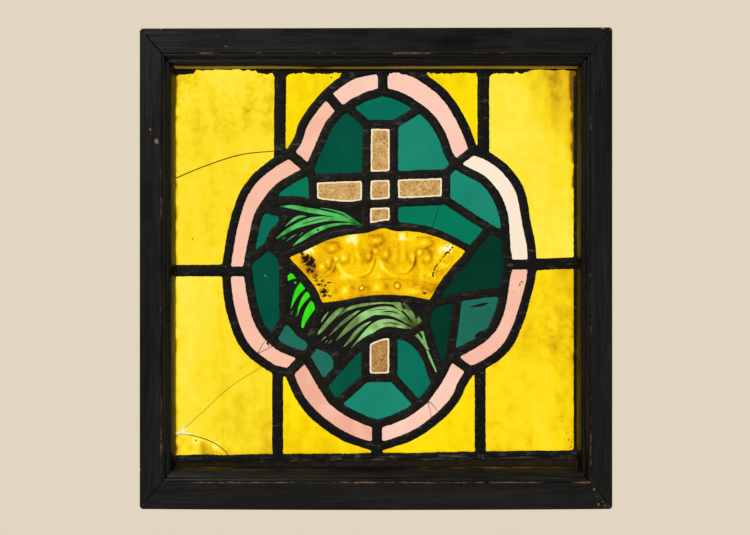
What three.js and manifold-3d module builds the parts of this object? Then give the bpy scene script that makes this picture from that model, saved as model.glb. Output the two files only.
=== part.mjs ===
// A leaded stained glass light (quatrefoil with cross, crown and palms) in its mitred wooden frame.
// Millimetres, +Z up. The front, with the frame's moulding, faces -Y.
// Origin: the middle of the frame's underside, half way through its depth. The drawing's own heights
// run from the base line of the light's cartoon, and the finished group is raised by -BASE.
import * as THREE from "three";
import { mergeVertices } from "three/addons/utils/BufferGeometryUtils.js";
import Module from "manifold-3d";

// ---- Driving dimensions -------------------------------------------------------------------------

const WIDTH = 511; // frame, outside
const BASE = -2; // height of the frame's underside in the drawing
const TOP = 520; // height of the frame's top
const DEPTH = 38; // frame, front to back
const STILE_FACE = 23.5; // flat front face of the upright members
const RAIL_FACE = 28; // flat front face of the top member
const SILL_FACE = 30; // flat front face of the bottom member
const STILE_MOULD = 13; // moulding between flat face and sight edge, uprights
const RAIL_MOULD = 15; // the same, top and bottom
const LIP = 16; // depth of the moulded lip that the light rests against
const REBATE = 14.5; // how far the rebate reaches behind the lip
const ARRIS_EASE = 0.8; // chamfer on the frame's long outer arrises
const CORNER_EASE = 2; // the frame's four worn outer corners
const GAP = 0.3; // clearance between pieces that touch

const BAR_CAME = 12.7; // half-inch flat lead: straight bars of the yellow ground
const WORN_BAR_CAME = 11.7; // the lower two bars, trimmed narrower
const BAND_CAME = 9.4; // three-eighths flat lead: both outlines of the band, cross, small pieces
const DIVIDER_CAME = 10.8; // dividers of the band where solder has spread
const CROWN_CAME = 8; // lead above and below the crown
const CAME_DEPTH = 7; // front flange to back flange
const FLANGE = 1.3; // thickness of each flange
const HEART = 1.6; // web between the flanges
const GLASS = 3.4; // sheet thickness
const GROZE = 0.4; // cement gap between glass edge and web
const CURVE_ERROR = 0.4; // how far a facet may stray from the true curve of a bent lead
const JOINT_SIDES = 8; // facets of a soldered joint

const BEAD_WIDTH = 13; // glazing beads behind the light
const BEAD_DEPTH = 10;
const BEAD_EASE = 3;

const FRONT = -DEPTH / 2; // y of the frame's front face
const SIGHT_X = WIDTH / 2 - STILE_FACE - STILE_MOULD;
const SIGHT_BOTTOM = BASE + SILL_FACE + RAIL_MOULD;
const SIGHT_TOP = TOP - RAIL_FACE - RAIL_MOULD;
const LIGHT_Y = FRONT + LIP + GAP + CAME_DEPTH / 2; // middle of the leaded light

// Border came: where its web runs, and the inner and outer edges of its flanges. The light sits a
// little askew: the bottom came stands clear of the lip and rises to the right by twice its lean,
// and the right one just shows.
const BORDER_X = SIGHT_X + 6.8;
const BORDER_TOP = SIGHT_TOP + 4;
const BORDER_BOTTOM = SIGHT_BOTTOM + 7.5;
const BORDER_LEAN = 2.6;
const LIGHT_INNER = {
  left: -SIGHT_X - 0.4,
  right: SIGHT_X - 2.8,
  bottom: SIGHT_BOTTOM + 14.8,
  top: SIGHT_TOP - 2.4,
  lean: BORDER_LEAN,
};
const LIGHT_OUTER = {
  left: -SIGHT_X - 13.2,
  right: SIGHT_X + 13.2,
  bottom: SIGHT_BOTTOM - 3,
  top: SIGHT_TOP + 10.4,
};

// ---- Materials ----------------------------------------------------------------------------------

const paint = (color, roughness, metalness = 0) =>
  new THREE.MeshStandardMaterial({ color, roughness, metalness, flatShading: true });
const tint = (color) =>
  new THREE.MeshStandardMaterial({ color, roughness: 0.12, transparent: true, opacity: 0.85 });

const MATERIALS = {
  wood: paint(0x1f1e1c, 0.5),
  bead: paint(0x2a2622, 0.6),
  lead: paint(0x2b2824, 0.55, 0.3),
  yellow: tint(0xf2d21c),
  pink: tint(0xf6c3b0),
  cream: tint(0xfaebd9),
  green: tint(0x0b6b53),
  palm: tint(0x4fbf4a),
  cross: tint(0xc9a06a),
  crown: tint(0xf0b90a),
};

// ---- Solids -------------------------------------------------------------------------------------

const wasm = await Module();
wasm.setup();

// A closed three.js geometry as a solid for joining and cutting.
function solid(geometry) {
  const bare = geometry.clone();
  bare.deleteAttribute("normal");
  bare.deleteAttribute("uv");
  const merged = mergeVertices(bare, 1e-4);
  return new wasm.Manifold(
    new wasm.Mesh({
      numProp: 3,
      vertProperties: new Float32Array(merged.attributes.position.array),
      triVerts: new Uint32Array(merged.index.array),
    }),
  );
}

// The solid again as a three.js geometry.
function geometryOf(body) {
  const { vertProperties, triVerts } = body.getMesh();
  const geometry = new THREE.BufferGeometry();
  geometry.setAttribute("position", new THREE.BufferAttribute(vertProperties, 3));
  geometry.setIndex(new THREE.BufferAttribute(triVerts, 1));
  geometry.computeVertexNormals();
  return geometry;
}

const joined = (bodies) => bodies.reduce((all, body) => all.add(body));

// An outline in the plane of the light, as [x, z] points, made solid from y = from to y = to.
function plate(outline, from, to) {
  const shape = new THREE.Shape(outline.map(([x, z]) => new THREE.Vector2(x, z)));
  const geometry = new THREE.ExtrudeGeometry(shape, { depth: to - from, bevelEnabled: false });
  geometry.rotateX(Math.PI / 2).translate(0, to, 0);
  return solid(geometry);
}

// A rectangle whose bottom edge may lean: lower at the left and higher at the right by that much.
const rectangle = ({ left, right, bottom, top, lean = 0 }) => [
  [left, bottom - lean],
  [right, bottom + lean],
  [right, top],
  [left, top],
];

// ---- Frame --------------------------------------------------------------------------------------

// Section of a member: [distance in from the outer edge, depth behind the front face].
function memberSection(face, mould) {
  const at = (share, depth) => [face + share * mould, depth];
  const sight = face + mould;
  return [
    [0, ARRIS_EASE],
    [ARRIS_EASE, 0],
    [face, 0],
    at(0.02, 1.3), // quirk
    at(0.08, 0.7), // bead
    at(0.17, 0.7),
    at(0.25, 1.6),
    at(0.31, 3.4), // hollow
    at(0.42, 4.9),
    at(0.5, 5.2), // ridge
    at(0.56, 4.9),
    at(0.64, 5.8), // ovolo, steeper towards the sight edge
    at(0.73, 7.2),
    at(0.82, 9.2),
    at(0.9, 11.4),
    at(1, 14.4),
    [sight, LIP],
    [sight - REBATE, LIP],
    [sight - REBATE, DEPTH],
    [ARRIS_EASE, DEPTH],
    [0, DEPTH - ARRIS_EASE],
  ];
}

// The two rails: the height of the outer edge, the way in from it, and the width of the flat face.
const UPPER = { edge: TOP, inwards: -1, face: RAIL_FACE };
const LOWER = { edge: BASE, inwards: 1, face: SILL_FACE };

// A corner's mitre, from outside to inside, slipped apart along x or along z. It turns at the
// moulding, where the members' widths differ.
function mitre({ edge, inwards, face }, slipX, slipZ) {
  const w = WIDTH / 2;
  const ease = CORNER_EASE;
  return [
    slipX ? [w - ease, -1] : [w + 1, ease],
    [w - ease / 2, ease / 2],
    [w - STILE_FACE, face],
    [SIGHT_X, face + RAIL_MOULD],
    [SIGHT_X - STILE_MOULD, face + 2 * RAIL_MOULD],
  ].map(([x, inset]) => [x - slipX, edge + inwards * (inset + slipZ)]);
}

// Front view of a rail, and of the right stile, between the same mitres.
function railPlan(end) {
  const half = mitre(end, GAP / 2, 0);
  return [...half, ...half.map(([x, z]) => [-x, z]).reverse()];
}

const stilePlan = [...mitre(UPPER, 0, GAP / 2), ...mitre(LOWER, 0, GAP / 2).reverse()];

// A section run along X beside a rail's outer edge, or along Z beside the right edge.
function runAlongRail(section, { edge, inwards }) {
  const shape = new THREE.Shape(
    section.map(([s, d]) => new THREE.Vector2(FRONT + d, edge + inwards * s)),
  );
  const geometry = new THREE.ExtrudeGeometry(shape, { depth: WIDTH, bevelEnabled: false });
  // shape x is the part's y, shape y is the part's z, and the run is along the part's x
  const axes = new THREE.Matrix4().set(0, 0, 1, -WIDTH / 2, 1, 0, 0, 0, 0, 1, 0, 0, 0, 0, 0, 1);
  return solid(geometry.applyMatrix4(axes));
}

function runAlongRight(section) {
  const shape = new THREE.Shape(section.map(([s, d]) => new THREE.Vector2(WIDTH / 2 - s, FRONT + d)));
  const geometry = new THREE.ExtrudeGeometry(shape, { depth: TOP - BASE, bevelEnabled: false });
  return solid(geometry.translate(0, 0, BASE));
}

const acrossX = new THREE.Matrix4().makeScale(-1, 1, 1);
const SIGHT_MIDDLE = (SIGHT_TOP + SIGHT_BOTTOM) / 2;
const upsideDown = new THREE.Matrix4().makeScale(1, 1, -1).setPosition(0, 0, 2 * SIGHT_MIDDLE);
const mirrored = (body, matrix) => body.transform(matrix.elements.slice());

const rail = (end) =>
  runAlongRail(memberSection(end.face, RAIL_MOULD), end).intersect(
    plate(railPlan(end), FRONT - 1, FRONT + DEPTH + 1),
  );
const frameRight = runAlongRight(memberSection(STILE_FACE, STILE_MOULD)).intersect(
  plate(stilePlan, FRONT - 1, FRONT + DEPTH + 1),
);

// Glazing beads fill the rebate behind the light, mitred at 45 degrees.
const REBATE_X = SIGHT_X + REBATE - GAP;
const REBATE_TOP = SIGHT_TOP + REBATE - GAP;
const BEAD_FROM = LIP + 2 * GAP + CAME_DEPTH;

function beadSection(edge) {
  return [
    [edge, BEAD_FROM],
    [edge + BEAD_WIDTH, BEAD_FROM],
    [edge + BEAD_WIDTH, BEAD_FROM + BEAD_DEPTH - BEAD_EASE],
    [edge + BEAD_WIDTH - BEAD_EASE, BEAD_FROM + BEAD_DEPTH],
    [edge, BEAD_FROM + BEAD_DEPTH],
  ];
}

const topBeadPlan = [
  [REBATE_X - GAP / 2, REBATE_TOP],
  [-REBATE_X + GAP / 2, REBATE_TOP],
  [-REBATE_X + GAP / 2 + BEAD_WIDTH, REBATE_TOP - BEAD_WIDTH],
  [REBATE_X - GAP / 2 - BEAD_WIDTH, REBATE_TOP - BEAD_WIDTH],
].reverse();
const sideDrop = REBATE_TOP - GAP / 2 - SIGHT_MIDDLE;
const rightBeadPlan = [
  [REBATE_X, SIGHT_MIDDLE - sideDrop],
  [REBATE_X, SIGHT_MIDDLE + sideDrop],
  [REBATE_X - BEAD_WIDTH, SIGHT_MIDDLE + sideDrop - BEAD_WIDTH],
  [REBATE_X - BEAD_WIDTH, SIGHT_MIDDLE - sideDrop + BEAD_WIDTH],
];
const beadTop = runAlongRail(beadSection(TOP - REBATE_TOP), UPPER).intersect(
  plate(topBeadPlan, FRONT, FRONT + DEPTH),
);
const beadRight = runAlongRight(beadSection(WIDTH / 2 - REBATE_X)).intersect(
  plate(rightBeadPlan, FRONT, FRONT + DEPTH),
);

// ---- Cartoon: the centre lines of the lead, as [x, z] in the plane of the light ------------------

// Where the dividers of the band meet its outer came (capitals) and its inner came (small letters).
const N = [7, 479.5];
const NE = [106.5, 388.5];
const E = [171, 263.5];
const SE = [103.5, 147.5];
const S = [1, 63.5];
const SW = [-95, 145];
const W = [-164, 259];
const NW = [-94.5, 385];
const n = [7.5, 452.5];
const ne = [86, 373];
const e = [145, 263.5];
const se = [81, 163.5];
const s = [1, 89];
const sw = [-77.5, 163.5];
const w = [-140.5, 260];
const nw = [-73, 367];

// Points along a smooth line through the given ones.
function smooth(...through) {
  const curve = new THREE.CatmullRomCurve3(
    through.map(([x, z]) => new THREE.Vector3(x, 0, z)),
    false,
    "centripetal",
  );
  const tangents = curve.getSpacedPoints(40).map((_, i) => curve.getTangentAt(i / 40));
  const turn = tangents.slice(1).reduce((sum, tangent, i) => sum + tangent.angleTo(tangents[i]), 0);
  const facets = Math.max(1, Math.ceil(Math.sqrt((curve.getLength() * turn) / (8 * CURVE_ERROR))));
  return curve.getSpacedPoints(facets).map((p) => [p.x, p.z]);
}

// The point of a lead line nearest to the given one, so that a lead soldered to it ends on it.
function on(line, x, z) {
  let best;
  line.slice(1).forEach(([x1, z1], i) => {
    const [x0, z0] = line[i];
    const dx = x1 - x0;
    const dz = z1 - z0;
    const t = THREE.MathUtils.clamp(((x - x0) * dx + (z - z0) * dz) / (dx * dx + dz * dz), 0, 1);
    const point = [x0 + t * dx, z0 + t * dz];
    const away = Math.hypot(point[0] - x, point[1] - z);
    if (!best || away < best.away) best = { point, away };
  });
  return best.point;
}

const leads = [];
function lead(width, line) {
  leads.push({ width, line });
  return line;
}

// Band, outer came, clockwise from the top
const band = (...through) => lead(BAND_CAME, smooth(...through));
band(N, [26, 479.5], [44, 472], [75, 448.5], [95, 417.5], NE);
const outerNEE = band(NE, [127.5, 379], [144.5, 364], [157.5, 344], [164, 311], [170, 281], E);
const outerESE = band(E, [169.5, 249], [164.5, 228.5], [158, 206], [143, 174], [124.5, 158], SE);
band(SE, [96.5, 138], [87, 117.5], [72.5, 100.5], [45.5, 80], [25, 70.5], S);
band(S, [-20.5, 69.5], [-42.5, 80], [-71, 102.5], [-85, 122], SW);
const outerSWW = band(SW, [-112, 149.5], [-127.5, 159.5], [-145, 177], [-158, 210.5], [-162.5, 238], W);
const outerWNW = band(W, [-161.5, 275], [-156, 305.5], [-149.5, 328], [-139.5, 349], [-124.5, 365.5], NW);
const outerNWN = band(NW, [-87, 396], [-79, 418], [-65, 438], [-48, 456], [-26, 470.5], N);

// Band, inner came
const innerNNE = band(n, [28, 446.5], [41, 438.5], [59, 424.5], [72, 404.5], [79.5, 384], ne);
const innerNEE = band(ne, [98, 366], [118.5, 354.5], [133, 335], [140.5, 312], [142, 284], e);
const innerESE = band(e, [142, 250], [137.5, 221], [129.5, 197], [120, 185.5], [103, 174.5], se);
const innerSES = band(se, [72, 144], [63.5, 130.5], [48, 111.5], [27, 98], s);
const innerSSW = band(s, [-25.5, 99.5], [-47, 114], [-65.5, 143.5], sw);
const innerSWW = band(sw, [-106, 174.5], [-126.5, 197], [-137, 234], w);
const innerWNW = band(w, [-134.5, 292], [-127, 320], [-104.5, 349], [-85, 360.5], nw);
const innerNWN = band(nw, [-62, 393], [-50, 418], [-38, 431.5], [-12, 446.5], n);

// Band, dividers
const divider = (a, b) => lead(DIVIDER_CAME, [a, b]);
divider(N, n);
lead(BAND_CAME, [NE, ne]);
divider(E, e);
lead(BAND_CAME, [SE, se]);
divider(S, s);
divider(SW, sw);
divider(on(outerSWW, -165, 256), on(innerSWW, -140, 256));
divider(NW, nw);
divider(on(outerNWN, -54, 450), on(innerNWN, -38, 432));

// Straight bars of the yellow ground
lead(BAR_CAME, [[-104.5, BORDER_TOP], on(outerWNW, -105, 378)]);
lead(BAR_CAME, [[117.3, BORDER_TOP], on(outerNEE, 117.3, 384)]);
lead(WORN_BAR_CAME, [[-107.5, BORDER_BOTTOM], on(outerSWW, -107.5, 148)]);
lead(WORN_BAR_CAME, [[114, BORDER_BOTTOM], on(outerESE, 114, 152)]);
lead(BAR_CAME, [[-BORDER_X, 256.8], on(outerSWW, -165, 257)]);
lead(BAR_CAME, [[BORDER_X, 265.5], E]);
lead(BAR_CAME, [[1, BORDER_BOTTOM - 1], S]);

// Cross: head, arms, centre and neck
const straight = (...line) => lead(BAND_CAME, line);
const headLeft = [-10, 417];
const headRight = [19.5, 416.5];
const centreTopLeft = [-10.5, 360];
const centreTopRight = [19.5, 361];
const centreLowLeft = [-11, 329.5];
const centreLowRight = [19.5, 331];
const armLeftTop = [-69.5, 357.5];
const armLeftLow = [-68.5, 331.5];
const armRightTop = [76.5, 363];
const armRightLow = [76.5, 333.5];
straight(headLeft, headRight);
straight(on(innerNWN, -30, 434), headLeft);
straight(headRight, on(innerNNE, 46.5, 432));
straight(headLeft, centreTopLeft, centreLowLeft);
straight(headRight, centreTopRight, centreLowRight);
straight(armLeftTop, centreTopLeft, centreTopRight, armRightTop);
straight(centreLowLeft, centreLowRight, armRightLow);
straight(nw, armLeftTop, armLeftLow);
straight(ne, armRightTop, armRightLow);

// Left of the cross: over the upper palm, and round the two small green panes
const palmTip = [-101.5, 319.5];
const palmFoot = [-117, 284.5];
band(on(innerWNW, -125, 332), [-104, 333.5], [-84, 333.5], armLeftLow);
band(armLeftLow, [-34, 327.5], centreLowLeft);
straight(on(innerWNW, -127, 327), palmTip);
band(palmTip, [-101, 311], [-112, 297.5], palmFoot);
straight(on(innerWNW, -136, 266), [-124, 279.5], palmFoot);

// Crown
const crownLeft = [-103, 272.5];
const crownRight = [104, 279];
const crownLowLeft = [-62, 217.5];
const crownLowRight = [61.5, 220.5];
const crownBand = (...through) => lead(CROWN_CAME, smooth(...through));
const crownTop = crownBand(
  crownLeft, [-83, 280.5], [-61, 291], [-40, 298.5], [-17, 301.5],
  [5, 307.5], [26, 305.5], [50, 302.5], [76, 294], crownRight,
);
straight(palmFoot, crownLeft);
band(crownLeft, [-86, 255], [-69, 234], crownLowLeft);
crownBand(crownLowLeft, [-37, 220.5], [-13, 225], [6, 226.5], [25, 226.5], [41, 224.5], crownLowRight);
straight([124, 303], crownRight, [95, 267], [86, 257.5], [73, 240.5], crownLowRight);
straight(centreLowLeft, on(crownTop, -11, 302));
straight(centreLowRight, on(crownTop, 19.5, 306));
straight(armRightLow, [124, 303], on(innerNEE, 142, 294));

// Right of the crown
const rightLead = straight(crownLowRight, [91, 228], on(innerESE, 140, 234.5));
const stemLead = band(crownLowRight, [55, 209], [56, 193], [66.5, 160], on(innerSES, 72, 145));
straight(on(rightLead, 89, 228), [86, 199], se);

// Foot of the cross, under the arched lead
const arch = band(
  on(innerSSW, -58, 131), [-34, 157.5], [-12, 179], [12, 188],
  [31, 185.5], [49, 171.5], [61, 144], on(innerSES, 66, 133),
);
const footLeft = [-11.5, 139.5];
const footRight = [19, 140];
straight(on(arch, -11.5, 179), footLeft);
straight(on(arch, 19, 188), footRight);
straight(on(innerSSW, -42.5, 112), footLeft, footRight, on(innerSES, 44, 112.5));
lead(CROWN_CAME, [on(stemLead, 55, 200), on(arch, 33, 185)]);

// Left of the crown: bright palm and the greens below it
const palmLow = [-101, 203];
const palmKnot = [-70, 180];
straight(crownLeft, [-101.5, 262], [-101, 215], palmLow);
straight(palmLow, on(innerSWW, -114, 181));
band(palmLow, [-92, 200.5], [-85, 191], palmKnot);
band(crownLowLeft, [-63, 208], [-67, 194], palmKnot);
straight(palmKnot, [-71, 171], sw);
band(palmKnot, [-60, 174.5], [-46, 168], [-41.5, 157], on(arch, -42, 149.5));

// ---- Lead and glass -----------------------------------------------------------------------------

// The outline of a strip of constant width along a line, mitred at its bends.
function ribbon(line, width) {
  const direction = (a, b) => new THREE.Vector2(b[0] - a[0], b[1] - a[1]).normalize();
  const sides = line.map((point, i) => {
    const before = direction(line[Math.max(i - 1, 0)], line[Math.max(i, 1)]);
    const after = direction(line[Math.min(i, line.length - 2)], line[Math.min(i + 1, line.length - 1)]);
    const along = before.clone().add(after).normalize();
    const reach = width / 2 / along.dot(after);
    const across = new THREE.Vector2(-along.y, along.x).multiplyScalar(reach);
    return [
      [point[0] + across.x, point[1] + across.y],
      [point[0] - across.x, point[1] - across.y],
    ];
  });
  return [...sides.map(([left]) => left), ...sides.map(([, right]) => right).reverse()];
}

// A soldered joint: a small polygon as wide as the lead.
function joint([x, z], width) {
  const radius = 0.49 * width;
  return Array.from({ length: JOINT_SIDES }, (_, i) => {
    const turn = ((i + 0.5) / JOINT_SIDES) * 2 * Math.PI;
    return [x + radius * Math.cos(turn), z + radius * Math.sin(turn)];
  });
}

// The points where two or more leads end together, each with the width of its widest lead.
function meetingPoints() {
  const met = new Map();
  for (const { width, line } of leads) {
    for (const point of [line[0], line[line.length - 1]]) {
      const key = point.map((v) => v.toFixed(2)).join();
      const known = met.get(key) ?? { point, width: 0, ends: 0 };
      met.set(key, { point, width: Math.max(known.width, width), ends: known.ends + 1 });
    }
  }
  return [...met.values()].filter(({ ends }) => ends > 1);
}

// What the leads leave open of a rectangle, each lead being as wide as widthOf says.
function openings(bounds, widthOf, from, to) {
  const strips = leads.map(({ width, line }) => plate(ribbon(line, widthOf(width)), from, to));
  const joints = meetingPoints().map(({ point, width }) => plate(joint(point, widthOf(width)), from, to));
  return plate(rectangle(bounds), from, to).subtract(joined([...strips, ...joints]));
}

// The rectangle on the border came's web, grown by a margin.
const webRectangle = (margin) => ({
  left: -BORDER_X - margin,
  right: BORDER_X + margin,
  bottom: BORDER_BOTTOM - margin,
  top: BORDER_TOP + margin,
});

// One layer of the leadwork: a whole rectangle less what the leads leave open.
function leadLayer(outer, inner, widthOf, from, to) {
  return plate(rectangle(outer), from, to).subtract(openings(inner, widthOf, from, to));
}

const cameFront = LIGHT_Y - CAME_DEPTH / 2;
const cameBack = LIGHT_Y + CAME_DEPTH / 2;
const flange = leadLayer(LIGHT_OUTER, LIGHT_INNER, (width) => width, cameFront, cameFront + FLANGE);
const web = leadLayer(
  webRectangle(HEART / 2),
  webRectangle(-HEART / 2),
  () => HEART,
  cameFront + FLANGE / 2,
  cameBack - FLANGE / 2,
);
const cames = flange.add(web).add(flange.translate([0, CAME_DEPTH - FLANGE, 0]));
const panes = openings(
  webRectangle(-HEART / 2 - GROZE),
  () => HEART + 2 * GROZE,
  LIGHT_Y - GLASS / 2,
  LIGHT_Y + GLASS / 2,
).decompose();

// A point inside each pane, with the pane's name and glass.
const PANES = [
  ["yellow_top_left", "yellow", -180, 400],
  ["yellow_top_left_inner", "yellow", -88, 450],
  ["yellow_top_right_inner", "yellow", 105, 450],
  ["yellow_top_right", "yellow", 180, 430],
  ["yellow_bottom_left", "yellow", -190, 120],
  ["yellow_bottom_left_inner", "yellow", -92, 80],
  ["yellow_bottom_right_inner", "yellow", 100, 80],
  ["yellow_bottom_right", "yellow", 190, 120],
  ["pink_top_left_high", "pink", -20, 458],
  ["pink_top_left_low", "pink", -66, 415],
  ["pink_top_right", "pink", 62, 444],
  ["pink_left_upper", "pink", -140, 320],
  ["pink_left_lower", "pink", -145, 208],
  ["cream_right_upper", "cream", 148, 330],
  ["pink_right_lower", "pink", 148, 208],
  ["pink_bottom_left", "pink", -50, 98],
  ["pink_bottom_right", "pink", 52, 98],
  ["green_01", "green", 5, 438],
  ["green_02", "green", -35, 395],
  ["green_03", "green", 45, 395],
  ["green_04", "green", -85, 345],
  ["green_05", "green", -117, 310],
  ["green_06", "green", -118, 240],
  ["green_07", "green", -90, 185],
  ["green_08", "green", -57, 160],
  ["green_09", "green", -28, 150],
  ["green_10", "green", 5, 120],
  ["green_11", "green", 38, 150],
  ["green_12", "green", 72, 195],
  ["green_13", "green", 108, 205],
  ["green_14", "green", 122, 265],
  ["green_15", "green", 112, 330],
  ["green_16", "green", 60, 315],
  ["palm_upper", "palm", -60, 310],
  ["palm_left", "palm", -84, 235],
  ["palm_lower", "palm", -15, 205],
  ["palm_stem", "palm", 50, 190],
  ["cross_head", "cross", 4, 390],
  ["cross_centre", "cross", 4, 345],
  ["cross_arm_left", "cross", -40, 345],
  ["cross_arm_right", "cross", 50, 346],
  ["cross_neck", "cross", 4, 318],
  ["cross_foot", "cross", 4, 160],
  ["crown", "crown", 0, 265],
];

// Whether the point lies in one of the triangles of the pane's front face.
function holds(pane, x, z) {
  const { vertProperties: v, triVerts: t } = pane.getMesh();
  const front = LIGHT_Y - GLASS / 2;
  for (let i = 0; i < t.length; i += 3) {
    const corners = [t[i], t[i + 1], t[i + 2]].map((k) => [v[3 * k], v[3 * k + 1], v[3 * k + 2]]);
    if (corners.some(([, y]) => Math.abs(y - front) > GLASS / 10)) continue;
    const sides = corners.map(([x0, , z0], k) => {
      const [x1, , z1] = corners[(k + 1) % 3];
      return (x1 - x0) * (z - z0) - (z1 - z0) * (x - x0);
    });
    if (sides.every((side) => side >= 0) || sides.every((side) => side <= 0)) return true;
  }
  return false;
}

// ---- The part -----------------------------------------------------------------------------------

const windowLight = new THREE.Group();

function addPiece(parent, name, body, material) {
  const mesh = new THREE.Mesh(geometryOf(body), material);
  mesh.name = name;
  parent.add(mesh);
}

const frame = new THREE.Group();
addPiece(frame, "top_rail", rail(UPPER), MATERIALS.wood);
addPiece(frame, "bottom_rail", rail(LOWER), MATERIALS.wood);
addPiece(frame, "right_stile", frameRight, MATERIALS.wood);
addPiece(frame, "left_stile", mirrored(frameRight, acrossX), MATERIALS.wood);
addPiece(frame, "bead_top", beadTop, MATERIALS.bead);
addPiece(frame, "bead_bottom", mirrored(beadTop, upsideDown), MATERIALS.bead);
addPiece(frame, "bead_right", beadRight, MATERIALS.bead);
addPiece(frame, "bead_left", mirrored(beadRight, acrossX), MATERIALS.bead);
windowLight.add(frame);

const light = new THREE.Group();
addPiece(light, "lead_came_matrix", cames, MATERIALS.lead);
for (const [name, glass, x, z] of PANES) {
  const found = panes.filter((pane) => holds(pane, x, z));
  if (found.length !== 1) throw new Error(`${name} is in ${found.length} panes`);
  addPiece(light, name, found[0], MATERIALS[glass]);
}
if (panes.length !== PANES.length) throw new Error(`${panes.length} panes cut, ${PANES.length} named`);
windowLight.add(light);
windowLight.position.z = -BASE;

export default windowLight;
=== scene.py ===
"""Looks for a leaded stained glass light in its black moulded wooden frame.

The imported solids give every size: this script reads the leads' and panes' outlines from them and
rebuilds the lead, the glass and the frame with their finer relief, painting, cracks and wear.
Blender works in metres; the flat work on the light is done in millimetres of x and z.
"""

import math

import bpy
import numpy as np
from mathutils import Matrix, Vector, geometry


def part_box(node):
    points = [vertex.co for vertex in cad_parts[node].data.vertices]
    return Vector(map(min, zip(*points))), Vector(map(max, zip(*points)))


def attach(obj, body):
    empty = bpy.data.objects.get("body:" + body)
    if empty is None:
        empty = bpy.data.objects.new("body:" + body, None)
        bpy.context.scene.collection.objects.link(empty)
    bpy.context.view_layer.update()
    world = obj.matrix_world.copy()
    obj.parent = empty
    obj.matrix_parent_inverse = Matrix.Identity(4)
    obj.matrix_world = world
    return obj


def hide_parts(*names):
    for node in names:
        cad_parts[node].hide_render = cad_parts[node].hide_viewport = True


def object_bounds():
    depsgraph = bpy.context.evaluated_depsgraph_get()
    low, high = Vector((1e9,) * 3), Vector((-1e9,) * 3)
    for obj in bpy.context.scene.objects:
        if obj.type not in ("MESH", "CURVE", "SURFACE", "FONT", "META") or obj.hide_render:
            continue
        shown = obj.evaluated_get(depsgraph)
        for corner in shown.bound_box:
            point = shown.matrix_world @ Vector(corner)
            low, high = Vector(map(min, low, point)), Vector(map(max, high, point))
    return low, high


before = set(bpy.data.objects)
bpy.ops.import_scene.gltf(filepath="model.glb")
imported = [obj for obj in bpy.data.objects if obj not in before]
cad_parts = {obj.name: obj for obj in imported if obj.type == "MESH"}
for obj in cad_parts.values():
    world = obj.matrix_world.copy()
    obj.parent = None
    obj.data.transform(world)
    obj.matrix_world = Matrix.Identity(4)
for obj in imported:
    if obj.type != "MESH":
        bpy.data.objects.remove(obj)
cad_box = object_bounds()

MM = 0.001

# ---- Sizes in millimetres ----

CELL = 0.5  # grid of the field that shapes the leads' edges
SOFTEN = 0.9  # how far the cement and solder round a corner of the glass
EDGE_STEP = 1.0  # spacing of points along a lead's edge
LEAD_STEP = 2.0  # spacing of points on the lead's faces
FLANGE_THICK = 1.3  # as in the solids
WEB_CLEARANCE = 0.3  # lead's web to the edge of the glass
EDGE_DROP = 0.9  # how far the rounded edge of a flange lies behind its crown
EDGE_ROUND = 2.4  # width of that rounding
SOLDER_RISE = 0.35  # swelling of the lead where it is soldered
PANE_STEP = {"crown": 0.75, "cross": 1.4, "yellow": 2.0, "palm": 2.0}  # spacing of points on a pane
PLAIN_STEP = 5.0  # the same, on the other panes
RAIL_FACE, SILL_FACE, RAIL_MOULD = 28.0, 30.0, 15.0  # flat faces and moulding of the rails
STILE_FACE, STILE_MOULD = 23.5, 13.0  # and of the stiles
LIP, REBATE = 16.0, 14.5
CORNER_ROUND = 3.2  # radius of the worn outer corners
BASE = 2.0  # height above the frame's underside of the base line that z is measured from here


def box_mm(node):
    low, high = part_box(node)
    return np.array(low) / MM - (0, 0, BASE), np.array(high) / MM - (0, 0, BASE)


LEAD_LOW, LEAD_HIGH = box_mm("lead_came_matrix")
FRAME_LOW, FRAME_HIGH = (np.array(corner) / MM - (0, 0, BASE) for corner in cad_box)
SIGHT_X = FRAME_HIGH[0] - STILE_FACE - STILE_MOULD
SIGHT_BOTTOM = FRAME_LOW[2] + SILL_FACE + RAIL_MOULD
SIGHT_TOP = FRAME_HIGH[2] - RAIL_FACE - RAIL_MOULD

# ---- Numbers: noise, curves, outlines ----


def noise(x, z, size, seed=0):
    """Smooth random hills from -1 to 1, about size apart."""
    gx, gz = np.asarray(x) / size + 500, np.asarray(z) / size + 500
    ix, iz = np.floor(gx).astype(np.int64), np.floor(gz).astype(np.int64)
    fx, fz = gx - ix, gz - iz
    fx, fz = fx * fx * (3 - 2 * fx), fz * fz * (3 - 2 * fz)

    def corner(a, b):
        h = (a * 374761393 + b * 668265263 + seed * 974634777) & 0x7FFFFFFF
        h = ((h ^ (h >> 13)) * 1274126177) & 0x7FFFFFFF
        return (h ^ (h >> 16)) / 0x3FFFFFFF - 1

    low = corner(ix, iz) * (1 - fx) + corner(ix + 1, iz) * fx
    high = corner(ix, iz + 1) * (1 - fx) + corner(ix + 1, iz + 1) * fx
    return low * (1 - fz) + high * fz


def step(x, start, end):
    """0 before start, 1 after end, smooth between."""
    t = np.clip((np.asarray(x, float) - start) / (end - start), 0, 1)
    return t * t * (3 - 2 * t)


def spot(x, z, centre, radius, soft=0.4):
    """1 inside a round spot, falling to 0 over its soft rim."""
    away = np.hypot(x - centre[0], z - centre[1])
    return 1 - step(away, radius * (1 - soft), radius * (1 + soft))


def hill(x, z, cx, cz, rx, rz):
    """1 at the centre of an oval hill, falling smoothly away."""
    return np.exp(-(((x - cx) / rx) ** 2) - ((z - cz) / rz) ** 2)


def bell(x, width):
    """1 at 0, falling smoothly away on both sides."""
    return np.exp(-((x / width) ** 2))


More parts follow.
